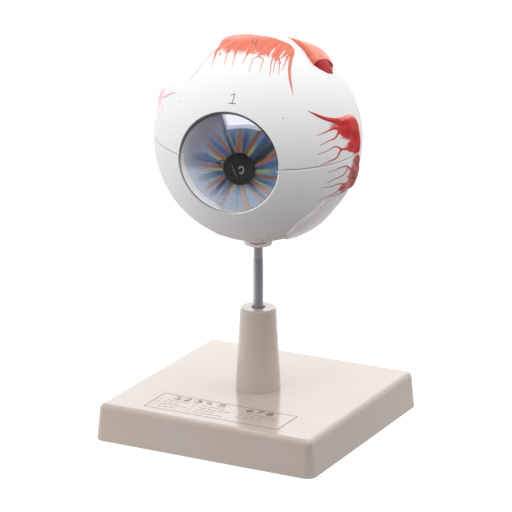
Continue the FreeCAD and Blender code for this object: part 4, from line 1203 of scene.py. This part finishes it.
def build_iris():
    """Disc round the pupil's stem, with a painted and slightly furrowed front."""
    spokes, rings = 720, 56
    centre = np.array(STROKES_CENTRE)
    angles = np.arange(spokes) * math.tau / spokes
    unit = np.stack((np.cos(angles), np.sin(angles)), 1)
    toward = unit @ centre
    reach = -toward + np.sqrt(toward ** 2 - centre @ centre + (PLUG_RADIUS - 0.05) ** 2)
    furrows = np.clip(waves(angles, 40, 12, 20, 120), -1, 1) * 0.07
    inner = PUPIL_STEM + 0.1
    shares = [ring / rings for ring in range(rings + 1)]
    loops = [(share, IRIS_FRONT - 0.09 + furrows * math.sin(math.pi * share)) for share in shares]
    loops += [(share, np.full(spokes, IRIS_BACK)) for share in (1.0, 0.0)]
    build = Build()
    for share, forward in loops:
        radius = inner + (reach - inner) * share
        for (x, z), y, turn, along_spoke in zip(centre + unit * radius[:, None], forward, angles, radius):
            brushed = (turn * 100 / math.tau, along_spoke) if y > IRIS_BACK else (0, 0)
            build.vertex((x, -y, z), brushed)
    for corners in join_rings([range(i * spokes, (i + 1) * spokes) for i in range(len(loops))], True):
        build.face(corners)
    shown = build.finish("iris_disc", "iris", "iris_paint", [IRIS_PAINT], ["iris"])
    face_outward(shown.data)
    spots = np.array(build.vertices)[:, (0, 2)] - centre
    colours = iris_colours(spots[:, 0], spots[:, 1])
    layer = shown.data.color_attributes.new("strokes", "FLOAT_COLOR", "POINT")
    layer.data.foreach_set("color", np.concatenate((colours, np.ones((len(colours), 1))), 1).ravel())


def build_pupil():
    """Black disc with a soft edge, on a stem through the iris."""
    x, z = IRIS_CENTRE
    profile = [(0, PUPIL_FRONT + 0.25), (4.0, PUPIL_FRONT + 0.2), (7.4, PUPIL_FRONT)]
    profile += arc(0.9, 10, 90, 6, (PUPIL_RADIUS - 0.9, PUPIL_FRONT - 0.9))
    profile += [(PUPIL_RADIUS, IRIS_FRONT + 0.15), (PUPIL_RADIUS - 0.2, IRIS_FRONT), (PUPIL_STEM, IRIS_FRONT),
                (PUPIL_STEM, IRIS_BACK), (0, IRIS_BACK)]
    vertices, faces = lathe(profile, 128, "Y")
    vertices = [(a + x, b, c + z) for a, b, c in vertices]
    piece("pupil_disc", (vertices, faces), "iris", [BLACK], replaces=["pupil"])


def build_cornea():
    """Clear dome with its skirt down to the iris, edges eased."""
    edge = math.degrees(math.asin((CORNEA_RADIUS - 0.15) / CORNEA_CURVE))
    skirt = CORNEA_RADIUS - SKIRT_WALL
    rise = CORNEA_CURVE - CORNEA_WALL - (RIM_FRONT - CORNEA_CENTRE - 0.5)
    inner = (skirt ** 2 + rise ** 2) / (2 * rise)
    low = CORNEA_CENTRE + CORNEA_CURVE - CORNEA_WALL - inner
    inner_edge = math.degrees(math.asin(skirt / inner))
    end = IRIS_FRONT + 0.3
    profile = [(0, CORNEA_CENTRE + CORNEA_CURVE)] + arc(CORNEA_CURVE, 0, edge, 36, (0, CORNEA_CENTRE))[1:]
    profile += [(CORNEA_RADIUS, RIM_FRONT - 0.2), (CORNEA_RADIUS, end + 0.1), (CORNEA_RADIUS - 0.1, end),
                (skirt + 0.1, end), (skirt, end + 0.1)]
    profile += arc(inner, inner_edge, 0, 36, (0, low))[:-1] + [(0, low + inner)]
    dome = lathe(profile, 200, "Y")
    piece("cornea_dome", dome, "cornea", [DOME_CLEAR], replaces=["cornea"], sharp=40)


# Width of the painted shade along the cornea's edge, a dark bead where the rim lies in shade: (angle from the
# temple side upwards, millimetres)
SHADE_BEAD_WIDTHS = [(8, 0.0), (20, 0.3), (45, 0.6), (85, 0.75), (105, 1.3), (130, 2.0), (165, 2.0), (185, 1.4),
             (205, 1.1), (240, 1.0), (262, 0.7), (280, 0.0)]


def build_edge_line():
    """Painted shade: a dark bead round the cornea where its rim lies in shade, thick above and gone at the
    lower temple side, where the rim is lit.
    """
    build = Build()
    angles, widths = zip(*SHADE_BEAD_WIDTHS)
    # (share of the width inwards, height above the dome)
    section = ((0, -0.25), (0.12, 0.16), (0.4, 0.26), (0.75, 0.2), (1, -0.03))
    rows = []
    for turn in np.arange(angles[0], angles[-1] + 0.1, 1.5):
        width = float(np.interp(turn, angles, widths))
        across, up = math.cos(math.radians(turn)), math.sin(math.radians(turn))
        row = []
        for share, lift in section:
            radius = CORNEA_RADIUS + 0.1 - share * width
            front = CORNEA_CENTRE + math.sqrt(CORNEA_CURVE ** 2 - radius ** 2) + lift * min(1.0, width)
            row.append(build.vertex((across * radius, -front, up * radius), (turn, share)))
        rows.append(row)
    for low, high in zip(rows, rows[1:]):
        for i in range(len(section) - 1):
            build.face((low[i], high[i], high[i + 1], low[i + 1]))
    build.finish("cornea_painted_shade_bead", "cornea", "clear_plastic", [SHADE_BEAD_DARK])


# ---------------------------------------------------------------- inside of the eyeball

def grow(build, patch, start, heading, width, reach, draw, keep, forks):
    """A vessel that wanders, thins out and forks; keep tells whether a place may be painted."""
    across, up = start
    points = [(across, up, width)]
    steps = 5
    for step in range(steps):
        heading += draw.uniform(-0.3, 0.3)
        across += math.cos(heading) * reach / steps
        up += math.sin(heading) * reach / steps
        if not keep(across, up):
            break
        points.append((across, up, width * (1 - 0.3 * (step + 1) / steps)))
    if len(points) < 3:
        return
    goes_on = forks > 0 and len(points) > steps
    if not goes_on:
        points[-1] = (*points[-1][:2], 0.1)
    stroke(build, patch, points, step=1.2, rise=0.15, sink=0.05, fade=(0, 0))
    if goes_on:
        for turn in (draw.uniform(0.25, 0.6), -draw.uniform(0.25, 0.6)):
            shorter = reach * draw.uniform(0.6, 0.9)
            grow(build, patch, (across, up), heading + turn, width * 0.68, shorter, draw, keep, forks - 1)


def build_retina_vessels(sign, node):
    """Arteries and veins that leave the optic disc, on the inside of one choroid half."""
    patch = Patch(NERVE_LONGITUDE, 0, radius=CHOROID_INSIDE, outward=-1)

    def keep(across, up):
        front = -patch.at(across, up).y
        return sign * up > 0.8 and front < CHOROID_FRONT - 3 and math.hypot(across, up) < 55

    for material, label, seed, shift in ((ARTERY, "arteries", 5, 0.0), (VEIN, "veins", 6, 0.24)):
        build = Build(mirrored=True)
        draw = random.Random(seed + (10 if sign > 0 else 0))
        for heading in (0.5, 1.15, 2.0, 2.65):
            turned = heading + shift
            start = (math.cos(turned) * 4, sign * math.sin(turned) * 4)
            grow(build, patch, start, sign * turned, 1.25, 17.0, draw, keep, 4)
        build.finish("retina_" + label + "_" + node, BODY_OF[node], "choroid_plastic", [material])


def build_choroid_vessels(sign, node):
    """Whorls of veins on the outside of one choroid half."""
    patch = Patch(0, 90 * sign, radius=CHOROID_OUTSIDE)

    def keep(across, up):
        spot = patch.at(across, up)
        return sign * spot.z > 2.0 and -spot.y < CHOROID_FRONT - 2 and math.hypot(across, up) < 59

    build = Build()
    draw = random.Random(77 + sign)
    for across, behind in ((-34, 26), (30, 30), (-33, -16), (33, -14)):
        hub = (across, behind * patch.north.y)
        for spoke in range(9):
            heading = math.tau * spoke / 9 + draw.uniform(-0.2, 0.2)
            grow(build, patch, hub, heading, 1.2, 11.0, draw, keep, 2)
    build.finish("choroid_veins_" + node, BODY_OF[node], "choroid_plastic", [DARK_VEIN])


def build_ciliary_ring():
    """Ring of the CAD's section whose sloping face is pleated into ciliary processes, with painted shade in
    the pleats' hollows.
    """
    folds, per_fold = 72, 8
    spokes = folds * per_fold
    # (radius, height, depth of the pleats)
    profile = [(23.3, 34.3, 0), (41.5, 34.3, 0), (41.5, 36.3, 0), (40.0, 39.25, 0), (38.5, 42.2, 0),
               (36.0, 42.2, 0.15), (33.5, 42.2, 0.7), (31.5, 41.24, 1.2), (29.0, 40.04, 1.35),
               (26.5, 38.84, 1.2), (24.6, 37.93, 0.8), (23.3, 37.3, 0.3), (23.3, 35.6, 0)]
    build = Build()
    for radius, height, depth in profile:
        for spoke in range(spokes):
            turn = math.tau * spoke / spokes
            pleat = 0.5 - 0.5 * math.cos(turn * folds)
            forward = height - depth * pleat * (0.8 + 0.2 * math.sin(turn * 17 + radius))
            # painted shade: the pleats' hollows take the dark tip colour
            build.vertex((radius * math.cos(turn), -forward, radius * math.sin(turn)),
                         (turn * 20, radius), pleat * (depth > 0.2))
    for corners in join_rings([range(i * spokes, (i + 1) * spokes) for i in range(len(profile))], True):
        build.face(corners)
    shown = build.finish("ciliary_processes", "vitreous", "ciliary_plastic", [CILIARY_BROWN_AND_FOLD_SHADE],
                         ["ciliary_body"], sharp=60.0)
    face_outward(shown.data)


def build_nerve():
    """Stub of the optic nerve: sheath, groove, fibres, and the cut artery and vein."""
    # The cut end: (radius, below its highest place)
    cut_end = [(7.5, 0.12), (7.1, 0), (6.3, 0.05), (6.05, 0.6), (5.75, 0.6), (5.5, 0.15), (3.0, 0.02),
               (0, 0.02)]
    profile = [(0, 60.85), (8.2, 60.85), (8.5, 61.2), (8.5, 63.5), (8.35, 66.5), (8.0, 73.0), (7.75, 77.4)]
    profile += [(radius, NERVE_END - below) for radius, below in cut_end]
    stand_up = along(direction(NERVE_LONGITUDE, 0))
    stub = moved(lathe(profile, 96), stand_up)
    shown = piece("nerve_stub", stub, "eyeball", [NERVE, NERVE_CORE],
                  replaces=["optic_nerve"])
    turn_back = (IN_EYE @ stand_up).inverted()
    for face in shown.data.polygons:
        spot = turn_back @ face.center
        face.material_index = int(math.hypot(spot.x, spot.y) < 6.1 and spot.z > 70)
    mark_seams(shown.data)
    vessel = lathe([(0, -0.3), (0.95, -0.3), (1.0, 0.0), (0.85, 0.09), (0.55, 0.02), (0, -0.02)], 32)
    for name, across, material in (("nerve_artery", -1.3, ARTERY), ("nerve_vein", 1.3, VEIN)):
        spot = stand_up @ Matrix.Translation((across, 0, NERVE_END - 0.09))
        piece(name, moved(vessel, spot), "eyeball", [material])


BODY_OF = {"choroid_upper": "choroid_cap", "choroid_lower": "choroid_bowl"}
for sign, node in ((1, "choroid_upper"), (-1, "choroid_lower")):
    build_retina_vessels(sign, node)
    build_choroid_vessels(sign, node)
build_ciliary_ring()
build_nerve()
build_iris()
build_pupil()
build_cornea()
build_edge_line()

# ---------------------------------------------------------------- numbers

# Pen strokes of the digits in a box 0.6 wide and 1 high, and the way from one digit to the next
DIGIT_ADVANCE = 0.78
DIGITS = {
    "0": [[(0.3, 1), (0.08, 0.85), (0.02, 0.5), (0.1, 0.12), (0.3, 0), (0.5, 0.14), (0.58, 0.5), (0.5, 0.88),
           (0.3, 1)]],
    "1": [[(0.06, 0.74), (0.36, 1)], [(0.36, 1), (0.36, 0.5), (0.34, 0)], [(0.0, -0.02), (0.7, 0.02)]],
    "2": [[(0.06, 0.8), (0.28, 1), (0.52, 0.8), (0.42, 0.5), (0.05, 0.02)], [(0.05, 0.02), (0.58, 0.02)]],
    "3": [[(0.08, 0.9), (0.34, 1), (0.52, 0.78), (0.28, 0.55)],
          [(0.28, 0.55), (0.55, 0.35), (0.4, 0.02), (0.06, 0.1)]],
    "4": [[(0, 1), (0.14, 0.3), (0.4, 0.48)], [(0.27, 0.83), (0.43, 0)]],
    "5": [[(0.52, 1), (0.14, 1)], [(0.14, 1), (0.1, 0.6)],
          [(0.1, 0.58), (0.4, 0.62), (0.54, 0.32), (0.36, 0.02), (0.06, 0.08)]],
    "6": [[(0.46, 1), (0.14, 0.62), (0.08, 0.2), (0.3, 0), (0.52, 0.2), (0.42, 0.48), (0.12, 0.4)]],
    "7": [[(0.04, 1), (0.56, 1)], [(0.56, 1), (0.3, 0.5), (0.22, 0)]],
    "8": [[(0.3, 0.54), (0.08, 0.76), (0.3, 1), (0.5, 0.76), (0.3, 0.54), (0.06, 0.24), (0.3, 0),
           (0.54, 0.24), (0.3, 0.54)]],
    "9": [[(0.5, 0.62), (0.26, 0.5), (0.08, 0.76), (0.3, 1), (0.5, 0.8), (0.5, 0.5), (0.34, 0)]],
}


def write_number(build, patch, text, corner, height, line, wide=1.0):
    """Thin pen strokes: corner is the lower left of the first digit."""
    for index, digit in enumerate(text):
        left = corner[0] + index * DIGIT_ADVANCE * wide * height
        for path in DIGITS[digit]:
            pen(build, patch, [(left + x * wide * height, corner[1] + y * height, line) for x, y in path],
                height / 7)


def number_piece(name, patch, text, corner, height, line, slot):
    """A number written in ink on the upper shell."""
    build = Build()
    write_number(build, patch, text, corner, height, line)
    build.finish(name, "upper_shell", slot, [INK])


number_piece("number_on_shell", Patch(0, 37), "1", (-2.6, -3.0), 6.4, 0.55, "sclera_plastic")
number_piece("number_on_muscle", Relief(0, 90, superior_rectus), "4", (-3.5, -16.2), 9.0, 0.5, "muscle_paint")
PUPIL_FACE = Flat((IRIS_CENTRE[0], -(PUPIL_FRONT + 0.27), IRIS_CENTRE[1]), (1, 0, 0), (0, 0, 1))


def build_specks():
    """Small marks in the moulding: two dark specks, and a white chip on the seam."""
    build = Build()
    speck = [(-0.5, 0.2, 0.3), (0, 0, 0.5), (0.5, -0.1, 0.2)]
    for longitude, latitude in ((-39.5, 27.6), (32.2, 28.0)):
        stroke(build, Patch(longitude, latitude), speck, step=0.2, rise=0.04, sink=0.01, fade=(0, 0))
    build.finish("moulding_specks", "upper_shell", "sclera_plastic", [INK])
    chip = Build()
    worn_edge = [(-2.2, -0.9, 0.3), (-0.8, -1.0, 0.9), (0.8, -0.95, 0.8), (2.6, -0.8, 0.2)]
    stroke(chip, Patch(30.0, 0), worn_edge, step=0.4, rise=0.12, fade=(0, 0))
    chip.finish("seam_chip", "eyeball", "sclera_plastic", [WHITE])


def build_pupil_number():
    """A thin leaning 1 and a bold 0."""
    build = Build()
    pen(build, PUPIL_FACE, [(-4.0, 2.2, 0.16), (-2.5, -1.2, 0.26), (-0.4, -5.2, 0.14)])
    zero = [(0.6, 0.5), (0.9, 1.8), (2.2, 2.1), (3.2, 1.0), (3.1, -0.9), (2.0, -2.0), (0.8, -1.5)]
    pen(build, PUPIL_FACE, [(x, y, 0.75) for x, y in zero], 0.4)
    build.finish("number_on_pupil", "iris", "pupil_plastic", [PALE_INK])


build_specks()
build_pupil_number()

# Printed key on the base: a frame with plain numbers and rules, just proud of the top face
BASE_TOP = Flat((0, 0, BASE_HEIGHT), (1, 0, 0), (0, 1, 0))
KEY_LEFT, KEY_RIGHT, KEY_BACK, KEY_FRONT = -46.0, 46.0, -37.0, -63.0
KEY_DIGITS = {"1": 9.4, "2": 16.2, "3": 23.6, "4": 31.8, "5": 40.0, "6": 59.6, "7": 66.4, "8": 73.2}
# (across, lengths of the rows)
KEY_COLUMNS = [(2.5, (15, 11, 17, 13)), (27.0, (16, 20, 14, 19)), (58.5, (20, 24, 15))]
HEAD_DROP, FIRST_ROW_DROP, ROW_PITCH = 6.3, 10.6, 3.9
NUMBER_WIDTH, DASH_GAP, DASH_RAISE = 4.6, 0.9, 0.9


def rule(build, start, end, line):
    """A printed straight line on the base."""
    pen(build, BASE_TOP, [(*start, line), (*end, line)], 6, 0.0)


def build_key():
    """The frame, and the plain numbers in its head row."""
    build = Build()
    for y in (KEY_BACK, KEY_FRONT):
        rule(build, (KEY_LEFT, y), (KEY_RIGHT, y), 0.5)
    for x in (KEY_LEFT, KEY_RIGHT):
        rule(build, (x, KEY_FRONT), (x, KEY_BACK), 0.5)
    for digit, across in KEY_DIGITS.items():
        write_number(build, BASE_TOP, digit, (KEY_LEFT + across, KEY_BACK - HEAD_DROP), 4.4, 0.95, wide=1.9)
    build.finish("printed_key", "stand", "stand_plastic", [PRINT], transform=WORLD)


def build_key_rows():
    """Three columns of numbered rows of dashes."""
    build = Build()
    draw = random.Random(31)
    count = 0
    for across, lengths in KEY_COLUMNS:
        for row, length in enumerate(lengths):
            count += 1
            up = KEY_BACK - FIRST_ROW_DROP - row * ROW_PITCH
            start = KEY_LEFT + across
            write_number(build, BASE_TOP, str(count), (start, up), 2.0, 0.3)
            start += NUMBER_WIDTH
            while length > 2:
                dash = draw.uniform(2.2, 5.0)
                rule(build, (start, up + DASH_RAISE), (start + dash, up + DASH_RAISE), 0.7)
                start += dash + DASH_GAP
                length -= dash + DASH_GAP
    build.finish("printed_key_rows", "stand", "stand_plastic", [FAINT_PRINT], transform=WORLD)


build_key()
build_key_rows()

# ---------------------------------------------------------------- rod with its thread

THREAD_PITCH, THREAD_DEPTH = 1.25, 0.42
THREAD_END = ROD_TOP - 0.3
# Radius of the thread's crest, a thinner one for its last part, and the height where that starts
THREAD_CREST, THIN_CREST, THIN_FROM = 3.18, 2.93, 115.0


def cut_thread(radius, height, turn):
    """The rod's radius at a place, inside the rolled thread's groove or beside it."""
    if not THREAD_START <= height < THREAD_END:
        return radius
    share = (height / THREAD_PITCH - turn / math.tau) % 1.0
    ridge = max(0.0, 1 - abs(share - 0.5) / 0.42) ** 0.8
    runout = min(1.0, (height - THREAD_START) / 1.6)
    return radius - THREAD_DEPTH * (1 - ridge) * runout


def build_rod():
    """Plated rod; the top end carries a rolled thread, which is thinner in its last part."""
    profile = [(0, ROD_FOOT), (ROD_RADIUS - 0.6, ROD_FOOT), (ROD_RADIUS, ROD_FOOT + 0.6)]
    profile += [(ROD_RADIUS, height) for height in np.linspace(ROD_FOOT + 6, THREAD_START - 1.2, 12)]
    profile += [(ROD_RADIUS - 0.03, THREAD_START - 0.5)]
    for height in np.arange(THREAD_START, THREAD_END, THREAD_PITCH / 9):
        profile.append((THREAD_CREST if height < THIN_FROM else THIN_CREST, height))
    profile += [(2.1, ROD_TOP), (0, ROD_TOP)]
    piece("plated_rod", lathe(profile, 64, carve=cut_thread), "rod", [ZINC], WORLD, ["rod"], 40)


build_rod()

# ---------------------------------------------------------------- finishes of the CAD pieces

FINISHES = {
    "base_plate": BEIGE, "post": BEIGE, "base_screw": STEEL, "screw_washer": STEEL,
    "threaded_insert": BRASS, "locating_pegs": PEG, "lens": LENS_CLEAR, "vitreous_body": CLEAR,
    **CHOROID_PAINTS,
}
for node_name, finish in FINISHES.items():
    for material_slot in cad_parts[node_name].material_slots:
        material_slot.material = finish

# ---------------------------------------------------------------- camera, floor and light

CAMERA_PLACE = (0.7848, -1.5037, 0.6190)
CAMERA_TURN, CAMERA_RISE = 27.608, 16.755
CAMERA_LENS = 202.29

# Level directions as the camera sees them: to the right, and towards the camera
TURN = math.radians(CAMERA_TURN)
RIGHT = Vector((math.cos(TURN), math.sin(TURN), 0))
NEAR = Vector((math.sin(TURN), -math.cos(TURN), 0))

lens = bpy.data.cameras.new("camera")
lens.lens = CAMERA_LENS
lens.clip_start = 0.05
camera = show("camera", lens)
camera.location = CAMERA_PLACE
camera.rotation_euler = (math.radians(90 - CAMERA_RISE), 0, TURN)
bpy.context.scene.camera = camera
bpy.context.scene.view_settings.view_transform = "Standard"


def seen_directly(tree):
    """1 for what the camera, metal and glass see, 0 for what lights the object."""
    path = add_node(tree, "LightPath").outputs
    seen = reckon(tree, "MAXIMUM", path["Is Camera Ray"], path["Is Glossy Ray"])
    return reckon(tree, "MAXIMUM", seen, path["Is Transmission Ray"])


def dimmed_reflection(tree, value):
    """1, but the given value where it is seen in a reflection."""
    depth = add_node(tree, "LightPath").outputs["Glossy Depth"]
    return blend(tree, reckon(tree, "GREATER_THAN", depth, 0.5), 1.0, value)


def dim_room(tree, outward, azimuth=24, full=0.45):
    """How bright reflections show the room in a direction: dim beyond the camera. The darkest part
    reaches round its azimuth to where the cosine is full."""
    return ramp(tree, along_axis(tree, outward, direction(azimuth, 5)), -0.95, full, 1.0, 0.03)


def floor_paper():
    """Pale paper as the camera, metal and glass see it. What lights the object is darker on the right."""
    material, tree, shader = new_material("floor_paper", Roughness=0.9, Specular_IOR_Level=0.0)
    spot = place(tree)
    reach = away_from(tree, spot)
    outward = add_node(tree, "VectorMath", {0: spot}, operation="NORMALIZE").outputs[0]
    # reflections show a bright floor round the object that goes over into the room without an edge;
    # the rod and the post reflect the floor close by, which is lighter on the left
    near = ramp(tree, reach, 0.12, 0.27, 0.5, 0.0)
    far = ramp(tree, reach, 0.4, 0.6)
    dusk = blend(tree, far, dim_room(tree, outward, 50, 0.75), dim_room(tree, outward))
    level = dimmed_reflection(tree, reckon(tree, "MAXIMUM", near, dusk))
    pulp = span(tree, noise(tree, 3.0), 0, 1)
    pale = blend_colours(tree, level, [0.02] * 3, blend_colours(tree, pulp, [0.52] * 3, [0.54] * 3))
    across = along_axis(tree, spot, (RIGHT * 0.6 + NEAR * 0.8).normalized())
    darker = span(tree, across, 0, 1, -0.25, 0.15)
    lit = blend_colours(tree, darker, srgb(240, 239, 240), srgb(124, 122, 122))
    seen = seen_directly(tree)
    wire(tree, shader, Base_Color=blend_colours(tree, seen, lit, pale))
    glow = add_node(tree, "Emission", {"Color": (1, 1, 1), "Strength": reckon(tree, "MULTIPLY", level, 0.62)})
    nothing = add_node(tree, "Emission", {"Color": (0, 0, 0), "Strength": 0.0})
    veil = blend_shaders(tree, seen, nothing, glow)
    show_surface(tree, add_node(tree, "AddShader", {0: shader, 1: veil}))
    return material


def build_floor():
    """The wide sheet that the model stands on, just below its foot."""
    half, height = 4.0, -0.0002
    corners = [(x * half, y * half, height) for x, y in ((-1, -1), (1, -1), (1, 1), (-1, 1))]
    mesh = new_mesh("floor", corners, [(0, 1, 2, 3)], Matrix.Identity(4))
    mesh.materials.append(floor_paper())
    floor = show("floor", mesh)


# Soft walls of light: (azimuth, elevation, radiance in the middle)
WALLS = [(-52, 0, 2.25), (27, 30, 0.48), (125, 0, 2.1), (207, 10, 0.2)]


def build_world():
    """The camera sees white all round; reflections see a dim room beyond the camera."""
    world = bpy.data.worlds.new("studio")
    world.use_nodes = True
    bpy.context.scene.world = world
    tree = world.node_tree
    outlook = add_node(tree, "TexCoord").outputs["Generated"]
    glow = 0.0
    for azimuth, elevation, radiance in WALLS:
        ahead = reckon(tree, "MAXIMUM", along_axis(tree, outlook, direction(azimuth, elevation)), 0.0)
        lobe = reckon(tree, "MULTIPLY", reckon(tree, "POWER", ahead, 2.0), radiance)
        glow = reckon(tree, "ADD", glow, lobe)
    room = add_node(tree, "Background", {"Color": (1, 1, 1), "Strength": glow})
    dim = dimmed_reflection(tree, dim_room(tree, outlook))
    backdrop = add_node(tree, "Background", {"Color": (1, 1, 1), "Strength": dim})
    show_surface(tree, blend_shaders(tree, seen_directly(tree), room, backdrop))


build_floor()
build_world()


def softbox(name, spot, size, radiance, colour=(1, 1, 1), aim=None):
    """A rectangular lamp that shines straight down, or at a place. Its brightness is given as
    radiance, so it doesn't depend on its size."""
    width, depth = size
    light = bpy.data.lights.new(name, "AREA")
    light.shape, light.size, light.size_y = "RECTANGLE", width, depth
    light.energy = radiance * math.pi * width * depth
    light.color = colour
    lamp = show(name, light)
    lamp.location = spot
    lamp.rotation_euler = (aim - spot).to_track_quat("-Z", "Y").to_euler() if aim else (0, 0, TURN)
    lamp.visible_camera = False
    return lamp


OVERHEAD_PLACE = RIGHT * 0.10 + NEAR * 0.05 + Vector((0, 0, 1.25))
OVERHEAD_SIZE = (1.3, 1.4)
OVERHEAD_COLOUR = (1.0, 0.985, 1.0)
BACKDROP_PLACE = NEAR * -1.6 + Vector((0, 0, 0.55))
BACKDROP_SIZE = (2.4, 1.3)
BACKDROP_AIM = Vector((0, 0, 0.18))
LAMP_GAP = 0.01

# Each lamp is a pair a centimetre apart: one lights, the other is seen in reflections
for label, lit, overhead_radiance, backdrop_radiance in (("softbox", True, 1.68, 0.6),
                                                         ("mirrored", False, 2.5, 1.2)):
    shift = 0.0 if lit else LAMP_GAP
    overhead = softbox("overhead_" + label, OVERHEAD_PLACE - Vector((0, 0, shift)), OVERHEAD_SIZE,
                       overhead_radiance, OVERHEAD_COLOUR)
    backdrop = softbox("backdrop_" + label, BACKDROP_PLACE + NEAR * shift, BACKDROP_SIZE,
                       backdrop_radiance, aim=BACKDROP_AIM)
    for lamp in (overhead, backdrop):
        lamp.visible_diffuse = lit
        lamp.visible_glossy = not lit
